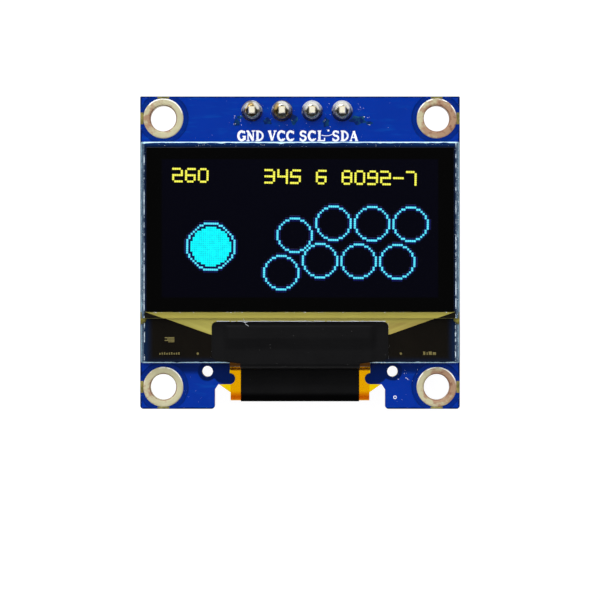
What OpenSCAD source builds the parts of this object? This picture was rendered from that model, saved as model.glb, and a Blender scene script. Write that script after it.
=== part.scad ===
// Small graphic display module: an organic LED panel on a blue circuit board,
// with a four-pin header and a flex circuit folded round to the board's back.
//
// The origin is the centre of the four mounting holes, on the board's back
// face. X runs to the right, Y towards the header edge, and the display faces
// +Z. Everything is in millimetres.

/* [Circuit board] */
// Width of the board
board_w = 27; // [26:0.1:40]
// Height of the board, from the flex edge to the header edge
board_h = 26.4; // [26.2:0.1:40]
// Thickness of the bare board
board_t = 1.2; // [0.8:0.1:2]
// Rounding of the board's lower corners
board_corner_r = 0.28; // [0.1:0.02:0.5]
// Rounding of the board's upper corners
board_top_r = 0.08; // [0.04:0.02:0.5]
// Thickness of a copper land above the board's face
land_t = 0.04; // [0.03:0.01:0.1]
// Thickness of the plating inside a hole
plating_t = 0.05; // [0.03:0.01:0.1]

/* [Mounting holes] */
// Finished diameter of a mounting hole
mount_d = 2.3; // [2:0.1:3]
// Width of the bare metal ring round a mounting hole
mount_ring_w = 0.55; // [0.3:0.05:0.7]
// Gap between a ring and the board's side edge
mount_gap_x = 0.25; // [0.1:0.05:1]
// Gap between a ring and the board's top or bottom edge
mount_gap_y = 0.15; // [0.1:0.05:1]

/* [Locating holes] */
// Diameter of the two small unplated holes beside the notch
locate_d = 0.91; // [0.6:0.05:1.1]
// Distance from the wider of notch mouth and flex tail to a hole's axis
locate_out = 0.62; // [0.6:0.02:1]
// Distance from the ears' upper side up to the holes' axes
locate_up = 0.17; // [0:0.01:0.3]

/* [Header] */
// Number of pins
pin_count = 4; // [4:1:6]
// Distance between neighbouring pins
pin_pitch = 2.54; // [2:0.01:3.1]
// Side of a square pin
pin_side = 0.64; // [0.5:0.02:0.8]
// Clearance between a pin's corner and the plated hole
pin_clearance = 0.05; // [0.03:0.01:0.1]
// Width of the bare metal ring round a header hole
pin_ring_w = 0.37; // [0.2:0.01:0.4]
// Distance from the pins' row to the board's header edge
header_inset = 1.22; // [1:0.01:1.6]
// How far the row's centre lies right of the board's centre
header_shift = -0.25; // [-1:0.05:1]
// Height of a pin's tip above the board's front face
pin_tip_h = 1.5; // [1.3:0.1:2]
// Free length of a pin below the plastic spacer
pin_free_len = 6; // [4:0.1:12]
// Bevel of a pin's two ends
pin_bevel = 0.08; // [0.04:0.01:0.12]
// Thickness of the plastic spacer
spacer_t = 2.54; // [1.5:0.02:3.1]
// Depth of the plastic spacer, across the row
spacer_depth = 2.4; // [1.6:0.1:2.9]
// Height of a solder joint above its ring
joint_h = 1.15; // [0.8:0.05:1.25]

/* [Panel] */
// Width of both glasses
panel_w = 26.8; // [22:0.1:32]
// Height of the rear glass, ledge included
panel_h = 18.6; // [15.5:0.1:20]
// Thickness of the rear glass
rear_glass_t = 0.55; // [0.4:0.05:0.8]
// Thickness of the front glass
front_glass_t = 0.5; // [0.4:0.05:0.8]
// Height of the open ledge below the front glass
ledge_h = 3.75; // [3.1:0.05:4.5]
// Thickness of the foam tape between board and panel
foam_t = 0.3; // [0.2:0.05:0.6]
// Height of each strip of foam tape
foam_h = 3; // [2:0.1:4]
// Distance from the panel's edges to the foam tape
foam_inset = 1.5; // [1:0.1:3]
// Thickness of the sealant frame between the glasses
seal_t = 0.05; // [0.03:0.01:0.1]
// Width of the sealant frame
seal_w = 0.7; // [0.5:0.05:1]
// Thickness of the polarizer film
polarizer_t = 0.2; // [0.1:0.02:0.3]
// Border of bare glass at the polarizer's sides and top
polarizer_border = 0.48; // [0.3:0.02:1]
// Border of bare glass below the polarizer
polarizer_low_border = 0.54; // [0.3:0.02:1]
// Dark border at the two sides of the lit area
active_side = 1.32; // [1:0.02:2]
// Dark border above the lit area
active_above = 1; // [0.8:0.02:2]
// Dark border below the lit area
active_below = 1.22; // [1:0.02:2]
// Radius of an adhesive drop at the glass step
drop_r = 0.5; // [0.3:0.05:0.6]
// Length of an adhesive drop along the step
drop_len = 0.55; // [0.3:0.05:1]

/* [Driver chip and tape] */
// Length of the driver chip
chip_w = 11.4; // [9:0.1:14]
// Depth of the driver chip
chip_d = 1; // [0.8:0.1:1.2]
// Thickness of the driver chip
chip_t = 0.3; // [0.2:0.05:0.4]
// Distance from the tape's upper edge to the chip
chip_inset = 0.4; // [0.3:0.05:0.5]
// Thickness of the cover tape
tape_t = 0.08; // [0.05:0.01:0.1]
// Width of the tape on the glass ledge
tape_w = 14.88; // [14:0.1:18]
// How far the tape on the flex stays inside the flex's side edges
tape_tail_inset = 0.87; // [0.6:0.01:1.5]
// Distance from the front glass's edge to the tape's upper edge
tape_gap = 0.27; // [0.2:0.01:0.4]
// Distance from the glass edge up to the wide tape's lower edge
tape_low_gap = 0.14; // [0.1:0.01:0.3]
// Rounding of the wide tape's upper corners
tape_top_r = 0.43; // [0.2:0.01:0.6]
// Rounding of the wide tape's lower corners
tape_low_r = 0.65; // [0.4:0.01:0.8]
// Length of tape behind the fold
tape_back_len = 1; // [0.5:0.1:2]

/* [Flex circuit] */
// Thickness of the flex circuit
flex_t = 0.12; // [0.08:0.01:0.15]
// Width of the flex where it leaves the glass
flex_w = 11.8; // [9.8:0.1:12.5]
// Length of flex bonded on the ledge
flex_bond_len = 1.15; // [0.8:0.05:1.3]
// Distance from the glass edge to the outside of the fold
flex_reach = 3.25; // [3:0.05:3.9]
// Bend radius at the top and the foot of the dive through the board
dive_r = 0.25; // [0.2:0.01:0.3]
// Bend radius of the fold below the notch
fold_r = 0.6; // [0.5:0.05:0.8]
// Clearance between the flex and the board's back face at the ears
ear_clearance = 0.1; // [0.05:0.01:0.2]
// Length of the tail that lies flat on the board's back
tail_len = 3.2; // [2.6:0.1:5]
// Number of soldered fingers
finger_count = 28; // [20:1:30]
// Distance between neighbouring fingers
finger_pitch = 0.5; // [0.4:0.01:0.6]
// Width of a finger's land
finger_w = 0.3; // [0.2:0.01:0.34]
// Length of a finger's land under the flex
finger_len = 1.6; // [1:0.1:2]
// Length of a finger's land past the flex's end
finger_out = 0.5; // [0.3:0.05:0.8]
// Bare film at each side of the row of fingers
tail_margin = 0.2; // [0.1:0.05:0.5]

/* [Flex notch] */
// Clearance between the flex and each side of the slot
slot_clearance = 0.05; // [0.03:0.01:0.1]
// Clearance between the flex and each side of the notch's mouth
mouth_clearance = 1.3; // [1.1:0.05:2]
// Depth of an ear, along Y
ear_d = 0.92; // [0.7:0.01:1.1]
// Distance from the glass edge to an ear's upper side
ear_below_glass = 0.9; // [0.85:0.01:1]
// How far the slot runs under the glass
slot_under_glass = 0.5; // [0.3:0.05:1]
// Width of the bevel where the mouth's wall meets the ear
mouth_bevel_x = 0.3; // [0.1:0.01:0.5]
// Height of the same bevel
mouth_bevel_y = 0.44; // [0.2:0.01:0.6]

/* [Small parts] */
// Length of a chip resistor or capacitor
chip_part_len = 1.6; // [1.4:0.1:1.8]
// Width of a chip resistor or capacitor
chip_part_w = 0.8; // [0.7:0.05:1]
// Height of a capacitor
capacitor_h = 0.8; // [0.5:0.05:1]
// Height of a resistor
resistor_h = 0.45; // [0.35:0.05:0.6]
// Length of a chip part's metal end
chip_end_len = 0.28; // [0.2:0.02:0.35]
// How far a land runs out past its part's end
land_out = 0.4; // [0.3:0.05:0.5]
// How far a land runs in under its part
land_in = 0.4; // [0.3:0.05:0.5]
// Height of the solder at a small part's end
solder_h = 0.3; // [0.2:0.05:0.35]

/* [Hidden] */
$fn = 64;
past = 1; // how far a cutting tool runs past the face it cuts

// Heights of the faces, from the board's back face upwards
rear_glass_z = board_t + foam_t;
ledge_z = rear_glass_z + rear_glass_t;
front_glass_z = ledge_z + seal_t;
polarizer_z = front_glass_z + front_glass_t;

// The panel is centred on the board
panel_top = panel_h / 2;
glass_edge = -panel_h / 2;
step_y = glass_edge + ledge_h;

// The board's holes
board_top = board_h / 2;
board_low = -board_h / 2;
mount_ring_d = mount_d + 2 * mount_ring_w;
mount_x = board_w / 2 - mount_gap_x - mount_ring_d / 2;
mount_y = board_h / 2 - mount_gap_y - mount_ring_d / 2;
pin_hole_d = pin_side * sqrt(2) + 2 * pin_clearance;
pin_ring_d = pin_hole_d + 2 * pin_ring_w;
pin_y = board_top - header_inset;
joint_tip_share = 0.62; // radius of a joint's top, as a share of the pin's side
function pin_x(i) = header_shift + (i - (pin_count - 1) / 2) * pin_pitch;

// The notch hangs from the panel's lower edge, where the flex comes over it.
// Each ear is a half disc that stands on the slot's side wall.
slot_w = flex_w + 2 * slot_clearance;
slot_top = glass_edge + slot_under_glass;
ear_top = glass_edge - ear_below_glass;
ear_low = ear_top - ear_d;
mouth_w = flex_w + 2 * mouth_clearance;
tail_w = finger_count * finger_pitch + 2 * tail_margin;
locate_x = max(mouth_w, tail_w) / 2 + locate_out;
locate_y = ear_top + locate_up;

// The tape and the driver chip on the ledge
tape_top = step_y - tape_gap;
tape_low = glass_edge + tape_low_gap;
tape_tail_w = flex_w - 2 * tape_tail_inset;
tape_edge_flat = 0.15;
chip_y = tape_top - chip_inset - chip_d / 2;
bond_y = glass_edge + flex_bond_len;

// The flex's centre line in the Y-Z plane. It comes off the ledge, dives
// through the slot, runs down behind the ears, folds, and climbs back to the
// board's back face, where its tail is soldered.
dive_angle = 85;
climb_angle = 20; // a whole number of bend steps, so that the tape fits the flex
landing_r = 1;
crest_out = 0.04; // how far the flex runs flat past the glass edge
over_z = ledge_z + flex_t / 2;
behind_z = -ear_clearance - flex_t / 2;
tail_z = -land_t - flex_t / 2;
crest_y = glass_edge - crest_out;
dive_len = (over_z - behind_z - 2 * dive_r * (1 - cos(dive_angle))) / sin(dive_angle);
foot_y = crest_y - 2 * dive_r * sin(dive_angle) - dive_len * cos(dive_angle);
fold_y = glass_edge - flex_reach + flex_t / 2 + fold_r;
climb_len = (tail_z - behind_z - landing_r * (1 - cos(climb_angle))
    + fold_r * (1 + cos(climb_angle))) / sin(climb_angle);
landing_y = fold_y + (fold_r + landing_r) * sin(climb_angle) + climb_len * cos(climb_angle);
tail_end = landing_y + tail_len;

// The flex widens towards its tail at this angle, behind the ears
gusset_low = fold_y;
gusset_angle = 36;
gusset_top = gusset_low + (tail_w - flex_w) / 2 * tan(gusset_angle);

// A bend is [centre y, centre z, radius, first angle, last angle]
crest = [crest_y, over_z - dive_r, dive_r, 90, 90 + dive_angle];
foot = [foot_y, behind_z + dive_r, dive_r, 270 + dive_angle, 270];
fold_out = [fold_y, behind_z - fold_r, fold_r, 90, 180];
fold_back = [fold_y, behind_z - fold_r, fold_r, 180, 270 + climb_angle];
fold_whole = [fold_y, behind_z - fold_r, fold_r, 90, 270 + climb_angle];
landing = [landing_y, tail_z - landing_r, landing_r, 90 + climb_angle, 90];
bend_step = 10; // degrees from one point of a bend to the next

// The way along a bend at the angle a, and the bend's points moved sideways
// by d, which is positive to the left
function way(b, a) = let (h = a + 90 * sign(b[4] - b[3])) [cos(h), sin(h)];
function bend(b, d) =
    let (r = b[2] - sign(b[4] - b[3]) * d, n = ceil(abs(b[4] - b[3]) / bend_step))
    [for (i = [0:n]) let (a = b[3] + (b[4] - b[3]) * i / n) [b[0] + r * cos(a), b[1] + r * sin(a)]];

// One side of a strip: its bends, with a straight length before and after
function side(list, d, before, after) =
    let (
        p = [for (b = list) each bend(b, d)],
        first = list[0],
        last = list[len(list) - 1]
    )
    concat(
        before > 0 ? [p[0] - before * way(first, first[3])] : [],
        p,
        after > 0 ? [p[len(p) - 1] + after * way(last, last[4])] : []
    );
function reversed(p) = [for (i = [len(p) - 1:-1:0]) p[i]];

bead_back = 0.3; // from a finger land's inner end to its bead
bead_short = 0.1; // from a bead's outer end to its land's
function finger_x(i) = (i - (finger_count - 1) / 2) * finger_pitch;

// Places of the small parts on the back: [x, y, angle]
capacitor_places = [
    [-9.4, 6.9, 90], [-7.5, 6.9, 90], [-5.6, 6.9, 90], [-3.7, 6.9, 90],
    [0.2, 7.2, 90], [8.6, 8.1, 0], [8.6, 6.4, 0]
];
resistor_places = [
    [-9.4, 2.9, 90], [-7.5, 2.9, 90], [-5.6, 2.9, 90], [-3.7, 2.9, 90],
    [-1.8, 2.9, 90], [9.4, 2.9, 0]
];
spare_place = [9.4, 1.2, 0];
regulator_place = [4.1, 7.2, 0];
diode_place = [3.2, 2.9, 0];

// Moulded packages: [length, width, height], and their leads
regulator_size = [2.9, 1.3, 1];
regulator_reach = 0.6;
regulator_lead_x = 0.95;
diode_size = [1.75, 1.25, 0.9];
diode_reach = 0.45;
package_lift = 0.06; // gap under a moulded body
package_draft = 0.07; // how far its sides lean in above and below the leads
lead_w = 0.4;
lead_t = 0.12;
lead_foot = 0.3;

// Lands and solder of the small parts
land_side = 0.05; // how far a land runs out past its part's sides
lead_land_back = 0.2; // how far a lead's land runs in behind the foot
lead_land_out = 0.3; // how far it runs out past the foot
lead_land_side = 0.125; // and past the foot's sides
solder_back = 0.08; // from the solder's toe to the land's end
solder_hollow = 0.35; // how full the solder's sloping face is

// ---- shared shapes ----

// A shape drawn as (y, z), extruded along X over the width w
module along_x(w) {
    translate([-w / 2, 0, 0]) rotate([90, 0, 90]) linear_extrude(w) children();
}

// A strip along a list of bends, between the sideways offsets d0 and d1
module strip(list, d0, d1, before, after) {
    polygon(concat(side(list, d0, before, after), reversed(side(list, d1, before, after))));
}

// A rectangle centred on X between two heights, with round corners
module rounded_sheet(w, y0, y1, top_r, low_r) {
    translate([-w / 2, y0 + low_r]) square([w, y1 - y0 - top_r - low_r]);
    translate([-w / 2 + top_r, y1 - top_r - low_r]) square([w - 2 * top_r, top_r + low_r]);
    translate([-w / 2 + low_r, y0]) square([w - 2 * low_r, low_r + top_r]);
    for (x = [-1, 1]) {
        translate([x * (w / 2 - top_r), y1 - top_r]) circle(top_r);
        translate([x * (w / 2 - low_r), y0 + low_r]) circle(low_r);
    }
}

// A block centred in X and Y that stands on z = 0
module block(w, d, h) {
    translate([-w / 2, -d / 2, 0]) cube([w, d, h]);
}

// Puts a small part on its lands on the board's back
module on_back(place) {
    translate([place[0], place[1], -land_t]) mirror([0, 0, 1]) rotate(place[2]) children();
}

// A plated hole: a tube through the board with a ring on each face
module plated_hole(d, ring_d) {
    difference() {
        union() {
            cylinder(h = board_t, d = d + 2 * plating_t);
            translate([0, 0, -land_t]) cylinder(h = land_t, d = ring_d);
            translate([0, 0, board_t]) cylinder(h = land_t, d = ring_d);
        }
        translate([0, 0, -past]) cylinder(h = board_t + 2 * past, d = d);
    }
}

// ---- board ----

module board_outline() {
    difference() {
        rounded_sheet(board_w, board_low, board_top, board_top_r, board_corner_r);
        notch();
        for (x = [-1, 1]) {
            // the mouth's own lower corners
            translate([x * mouth_w / 2, board_low]) mouth_corner(x);
            translate([x * locate_x, locate_y]) circle(d = locate_d);
            for (y = [-1, 1]) translate([x * mount_x, y * mount_y]) circle(d = mount_d + 2 * plating_t);
        }
        for (i = [0:pin_count - 1]) translate([pin_x(i), pin_y]) circle(d = pin_hole_d + 2 * plating_t);
    }
}

module mouth_corner(x) {
    r = board_corner_r;
    difference() {
        translate([min(0, x * r), -r]) square([r, 2 * r]);
        translate([x * r, r]) circle(r);
    }
}

module notch() {
    difference() {
        translate([-slot_w / 2, ear_low - past]) square([slot_w, slot_top - ear_low + past]);
        for (x = [-1, 1]) translate([x * slot_w / 2, (ear_top + ear_low) / 2]) circle(d = ear_d);
    }
    polygon([
        [-mouth_w / 2, board_low - past], [-mouth_w / 2, ear_low - mouth_bevel_y],
        [-mouth_w / 2 + mouth_bevel_x, ear_low], [mouth_w / 2 - mouth_bevel_x, ear_low],
        [mouth_w / 2, ear_low - mouth_bevel_y], [mouth_w / 2, board_low - past]
    ]);
}

module circuit_board() {
    color("#0030a0") linear_extrude(board_t) board_outline();
}

module mounting_hole_rings() {
    color("#c8c396")
    for (x = [-1, 1], y = [-1, 1]) translate([x * mount_x, y * mount_y, 0]) plated_hole(mount_d, mount_ring_d);
}

module header_hole_rings() {
    color("#c8c396")
    for (i = [0:pin_count - 1]) translate([pin_x(i), pin_y, 0]) plated_hole(pin_hole_d, pin_ring_d);
}

// ---- header ----

// One pin, bevelled at both ends, over its whole length
module pin_profile() {
    low = -land_t - spacer_t - pin_free_len;
    top = board_t + pin_tip_h;
    s = pin_side / 2;
    b = pin_bevel;
    bevel_len = 2 * b;
    polygon([
        [-s + b, low], [s - b, low], [s, low + bevel_len], [s, top - bevel_len],
        [s - b, top], [-s + b, top], [-s, top - bevel_len], [-s, low + bevel_len]
    ]);
}

module pin() {
    intersection() {
        translate([0, pin_side, 0]) rotate([90, 0, 0]) linear_extrude(2 * pin_side) pin_profile();
        along_x(2 * pin_side) pin_profile();
    }
}

module header_pins() {
    color("#d9cfa6") for (i = [0:pin_count - 1]) translate([pin_x(i), pin_y, 0]) pin();
}

// A joint fills its hole and rises round the pin as a steep dome
module header_solder() {
    ring_z = board_t + land_t;
    base_r = pin_ring_d / 2;
    tip_r = pin_side * joint_tip_share;
    steps = 12;
    dome = [for (i = [0:steps]) let (a = 90 * i / steps)
        [tip_r + (base_r - tip_r) * cos(a), ring_z + joint_h * sin(a)]];
    color("#b9bcc0")
    for (i = [0:pin_count - 1]) translate([pin_x(i), pin_y, 0]) difference() {
        union() {
            translate([0, 0, -land_t]) cylinder(h = board_t + 2 * land_t, d = pin_hole_d);
            rotate_extrude() polygon(concat([[0, ring_z]], dome, [[0, ring_z + joint_h]]));
        }
        translate([0, 0, -past]) block(pin_side, pin_side, board_t + pin_tip_h + 2 * past);
    }
}

// The spacer is one moulding, necked between the pins
module header_spacer() {
    neck = 0.3;
    color("#18181a") translate([0, 0, -land_t - spacer_t]) linear_extrude(spacer_t) difference() {
        for (i = [0:pin_count - 1]) translate([pin_x(i), pin_y]) polygon([
            [-pin_pitch / 2, neck - spacer_depth / 2], [neck - pin_pitch / 2, -spacer_depth / 2],
            [pin_pitch / 2 - neck, -spacer_depth / 2], [pin_pitch / 2, neck - spacer_depth / 2],
            [pin_pitch / 2, spacer_depth / 2 - neck], [pin_pitch / 2 - neck, spacer_depth / 2],
            [neck - pin_pitch / 2, spacer_depth / 2], [-pin_pitch / 2, spacer_depth / 2 - neck]
        ]);
        for (i = [0:pin_count - 1])
            translate([pin_x(i) - pin_side / 2, pin_y - pin_side / 2]) square(pin_side);
    }
}

// ---- panel ----

module foam_pads() {
    w = panel_w - 2 * foam_inset;
    color("#e8e6df") for (y = [panel_top - foam_inset - foam_h, step_y + foam_inset])
        translate([-w / 2, y, board_t]) cube([w, foam_h, foam_t]);
}

module rear_glass() {
    color("#39424a") translate([-panel_w / 2, glass_edge, rear_glass_z]) cube([panel_w, panel_h, rear_glass_t]);
}

module front_glass() {
    color("#4a5660") translate([-panel_w / 2, step_y, front_glass_z])
        cube([panel_w, panel_top - step_y, front_glass_t]);
}

module polarizer() {
    low = step_y + polarizer_low_border;
    w = panel_w - 2 * polarizer_border;
    color("#0b0b10") translate([-w / 2, low, polarizer_z])
        cube([w, panel_top - polarizer_border - low, polarizer_t]);
}

module pixel_layer() {
    low = step_y + polarizer_low_border + active_below;
    w = panel_w - 2 * polarizer_border - 2 * active_side;
    color("#0c1420") translate([-w / 2, low, ledge_z])
        cube([w, panel_top - polarizer_border - active_above - low, seal_t]);
}

module sealant_frame() {
    inset = 0.25;
    w = panel_w - 2 * inset;
    h = panel_top - step_y - 2 * inset;
    color("#8a8a72") translate([0, (panel_top + step_y) / 2, ledge_z]) difference() {
        block(w, h, seal_t);
        translate([0, 0, -past]) block(w - 2 * seal_w, h - 2 * seal_w, seal_t + 2 * past);
    }
}

// Each drop is a slice of a ball that sits in the corner of the glass step
module adhesive_drops() {
    reach = 2 * drop_r;
    color("#8f8a3c") for (x = [-1, 1]) intersection() {
        translate([x * panel_w / 2, step_y, ledge_z]) sphere(drop_r);
        translate([x * (panel_w - drop_len) / 2, step_y - reach / 2, ledge_z]) block(drop_len, reach, reach);
    }
}

// ---- driver chip, tape and flex ----

module driver_chip() {
    color("#3c3f45") translate([0, chip_y, ledge_z]) block(chip_w, chip_d, chip_t);
}

// The tape lies over the chip and the flex's bond, then runs down the flex
module cover_tape() {
    chip_top = chip_y + chip_d / 2;
    chip_low = chip_y - chip_d / 2;
    under = [
        [tape_top, 0], [tape_top - tape_edge_flat, 0], [chip_top, chip_t], [chip_low, chip_t],
        [bond_y, flex_t], [tape_low, flex_t]
    ];
    color("#17171a") {
        intersection() {
            translate([0, 0, ledge_z]) along_x(tape_w)
                polygon(concat(under, reversed([for (p = under) p + [0, tape_t]])));
            linear_extrude(ledge_z + chip_t + 2 * tape_t)
                rounded_sheet(tape_w, tape_low, tape_top, tape_top_r, tape_low_r);
        }
        along_x(tape_tail_w) strip(
            [crest, foot, fold_whole], -flex_t / 2 - tape_t, -flex_t / 2,
            tape_low - crest_y, tape_back_len
        );
    }
}

module flex_circuit() {
    color("#e09a10") {
        along_x(flex_w) strip([crest, foot, fold_out], -flex_t / 2, flex_t / 2, bond_y - crest_y, 0);
        intersection() {
            along_x(tail_w) strip([fold_back, landing], -flex_t / 2, flex_t / 2, 0, tail_len);
            translate([0, 0, behind_z - 2 * fold_r - past]) linear_extrude(2 * fold_r + 2 * past) polygon([
                [-flex_w / 2, fold_y - 2 * fold_r], [flex_w / 2, fold_y - 2 * fold_r],
                [flex_w / 2, gusset_low], [tail_w / 2, gusset_top], [tail_w / 2, tail_end + past],
                [-tail_w / 2, tail_end + past], [-tail_w / 2, gusset_top], [-flex_w / 2, gusset_low]
            ]);
        }
    }
}

module flex_lands() {
    color("#c8c396") for (i = [0:finger_count - 1])
        translate([finger_x(i) - finger_w / 2, tail_end - finger_len, -land_t])
            cube([finger_w, finger_len + finger_out, land_t]);
}

// Each joint is a round-backed bead that runs off the flex's end onto its land
module flex_solder() {
    bead_r = finger_w / 2;
    bead_end = tail_end + finger_out - bead_short;
    bead_len = bead_end - (tail_end - finger_len + bead_back);
    color("#b9bcc0") for (i = [0:finger_count - 1]) translate([finger_x(i), 0, 0]) difference() {
        union() {
            translate([0, bead_end - bead_len / 2, -land_t - flex_t]) block(finger_w, bead_len, flex_t);
            translate([0, bead_end, -land_t - flex_t]) rotate([90, 0, 0]) cylinder(h = bead_len, r = bead_r);
        }
        translate([0, bead_end - bead_len / 2, -land_t]) block(2 * finger_w, bead_len + past, bead_r);
        translate([0, tail_end - finger_len, -land_t - flex_t]) block(2 * finger_w, 2 * finger_len, flex_t + past);
    }
}

// ---- small parts on the back ----

// The body of a chip part, between its two metal ends
module chip_body(h) {
    block(chip_part_len - 2 * chip_end_len, chip_part_w, h);
}

module chip_ends(h) {
    for (x = [-1, 1]) translate([x * (chip_part_len - chip_end_len) / 2, 0, 0]) block(chip_end_len, chip_part_w, h);
}

module chip_lands() {
    for (x = [-1, 1]) translate([x * (chip_part_len + land_out - land_in) / 2, 0, -land_t])
        block(land_in + land_out, chip_part_w + 2 * land_side, land_t);
}

// A wedge of solder that starts at the given distance and leans on what stands there
module solder_wedge(from, w, h, run) {
    translate([from, w / 2, 0]) rotate([90, 0, 0]) linear_extrude(w)
        polygon([[0, 0], [run, 0], [run * solder_hollow, h * solder_hollow], [0, h]]);
}

module chip_solder() {
    for (a = [0, 180]) rotate(a) solder_wedge(chip_part_len / 2, chip_part_w, solder_h, land_out - solder_back);
}

// A moulded body whose sides lean in above and below its leads
module moulded_body(size) {
    intersection() {
        translate([0, size[1], 0]) rotate([90, 0, 0]) linear_extrude(2 * size[1]) draft_profile(size[0], size[2]);
        along_x(2 * size[0]) draft_profile(size[1], size[2]);
    }
}

module draft_profile(w, h) {
    mid = (package_lift + h) / 2;
    polygon([
        [package_draft - w / 2, package_lift], [w / 2 - package_draft, package_lift],
        [w / 2, mid - lead_t / 2], [w / 2, mid + lead_t / 2], [w / 2 - package_draft, h],
        [package_draft - w / 2, h], [-w / 2, mid + lead_t / 2], [-w / 2, mid - lead_t / 2]
    ]);
}

// A formed lead from a body's side, out and down to its foot on the land
module lead(size, from, reach) {
    mid = (package_lift + size[2]) / 2;
    knee = (reach - lead_foot) / 2;
    translate([from, lead_w / 2, 0]) rotate([90, 0, 0]) linear_extrude(lead_w) polygon([
        [0, mid - lead_t / 2], [knee - lead_t / 2, mid - lead_t / 2], [reach - lead_foot - lead_t / 2, 0],
        [reach, 0], [reach, lead_t], [reach - lead_foot + lead_t / 2, lead_t],
        [knee + lead_t / 2, mid + lead_t / 2], [0, mid + lead_t / 2]
    ]);
}

// Where each lead leaves its body: [side offset, angle]
regulator_leads_at = [[-regulator_lead_x, -90], [regulator_lead_x, -90], [0, 90]];

module at_regulator_leads() {
    for (l = regulator_leads_at) translate([l[0], 0, 0]) rotate(l[1]) children();
}

module regulator_body() {
    color("#1c1c1e") on_back(regulator_place) moulded_body(regulator_size);
}

module regulator_leads() {
    color("#c9ccd0") on_back(regulator_place) at_regulator_leads()
        lead(regulator_size, regulator_size[1] / 2, regulator_reach);
}

module diode_body() {
    color("#1c1c1e") on_back(diode_place) moulded_body(diode_size);
}

module diode_leads() {
    color("#c9ccd0") on_back(diode_place) for (a = [0, 180]) rotate(a)
        lead(diode_size, diode_size[0] / 2, diode_reach);
}

module capacitor_bodies() {
    color("#a8866a") for (p = capacitor_places) on_back(p) chip_body(capacitor_h);
}

module capacitor_ends() {
    color("#c9ccd0") for (p = capacitor_places) on_back(p) chip_ends(capacitor_h);
}

module resistor_bodies() {
    color("#26262a") for (p = resistor_places) on_back(p) chip_body(resistor_h);
}

module resistor_ends() {
    color("#c9ccd0") for (p = resistor_places) on_back(p) chip_ends(resistor_h);
}

// A land under a formed lead's foot
module lead_land(from, reach) {
    translate([from + reach - (lead_foot + lead_land_back - lead_land_out) / 2, 0, -land_t])
        block(lead_foot + lead_land_back + lead_land_out, lead_w + 2 * lead_land_side, land_t);
}

module small_part_lands() {
    color("#c8c396") {
        for (p = concat(capacitor_places, resistor_places, [spare_place])) on_back(p) chip_lands();
        on_back(regulator_place) at_regulator_leads() lead_land(regulator_size[1] / 2, regulator_reach);
        on_back(diode_place) for (a = [0, 180]) rotate(a) lead_land(diode_size[0] / 2, diode_reach);
    }
}

module small_part_solder() {
    toe = 0.18;
    color("#b9bcc0") {
        for (p = concat(capacitor_places, resistor_places)) on_back(p) chip_solder();
        on_back(regulator_place) at_regulator_leads()
            solder_wedge(regulator_size[1] / 2 + regulator_reach, lead_w, lead_t, toe);
        on_back(diode_place) for (a = [0, 180]) rotate(a)
            solder_wedge(diode_size[0] / 2 + diode_reach, lead_w, lead_t, toe);
    }
}

circuit_board();
mounting_hole_rings();
header_hole_rings();
header_spacer();
header_pins();
header_solder();
foam_pads();
rear_glass();
front_glass();
polarizer();
pixel_layer();
sealant_frame();
adhesive_drops();
driver_chip();
cover_tape();
flex_circuit();
flex_lands();
flex_solder();
regulator_body();
regulator_leads();
diode_body();
diode_leads();
capacitor_bodies();
capacitor_ends();
resistor_bodies();
resistor_ends();
small_part_lands();
small_part_solder();
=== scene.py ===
import math

import bpy
import numpy as np
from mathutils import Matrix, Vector


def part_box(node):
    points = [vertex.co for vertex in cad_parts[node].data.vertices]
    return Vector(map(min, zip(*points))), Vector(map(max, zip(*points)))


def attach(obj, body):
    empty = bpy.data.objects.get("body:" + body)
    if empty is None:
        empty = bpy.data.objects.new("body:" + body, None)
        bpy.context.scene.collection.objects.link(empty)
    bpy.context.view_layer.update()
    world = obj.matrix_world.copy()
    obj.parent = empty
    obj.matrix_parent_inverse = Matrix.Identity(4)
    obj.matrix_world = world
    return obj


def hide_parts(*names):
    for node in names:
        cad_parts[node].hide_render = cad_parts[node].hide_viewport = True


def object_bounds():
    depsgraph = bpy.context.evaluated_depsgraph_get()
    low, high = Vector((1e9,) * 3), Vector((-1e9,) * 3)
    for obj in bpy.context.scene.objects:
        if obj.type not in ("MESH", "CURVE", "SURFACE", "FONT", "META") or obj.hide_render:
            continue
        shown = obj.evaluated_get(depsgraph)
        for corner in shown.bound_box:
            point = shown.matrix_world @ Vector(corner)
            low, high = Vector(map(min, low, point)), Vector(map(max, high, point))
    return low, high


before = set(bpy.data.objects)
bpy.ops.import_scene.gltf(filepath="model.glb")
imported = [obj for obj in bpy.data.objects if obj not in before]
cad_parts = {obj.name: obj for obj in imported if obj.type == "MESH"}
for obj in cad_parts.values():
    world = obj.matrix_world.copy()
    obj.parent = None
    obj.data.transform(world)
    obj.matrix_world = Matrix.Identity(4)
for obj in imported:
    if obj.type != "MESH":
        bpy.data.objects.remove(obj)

cad_low, cad_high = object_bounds()
mm = 0.001


# ---- Circuit board ----
# One sheet of woven glass fibre laminate, 1.2 mm thick, routed to shape. A
# printed blue solder mask covers both faces and the copper poured on them, and
# the routed edges and unplated holes are left as bare laminate.

def linear(code, alpha=1.0):
    """A colour given as sRGB hex digits, turned to linear light."""
    value = np.array([int(code[i:i + 2], 16) for i in (0, 2, 4)]) / 255
    value = np.where(value <= 0.04045, value / 12.92, ((value + 0.055) / 1.055) ** 2.4)
    return (*value.tolist(), alpha)


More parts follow.
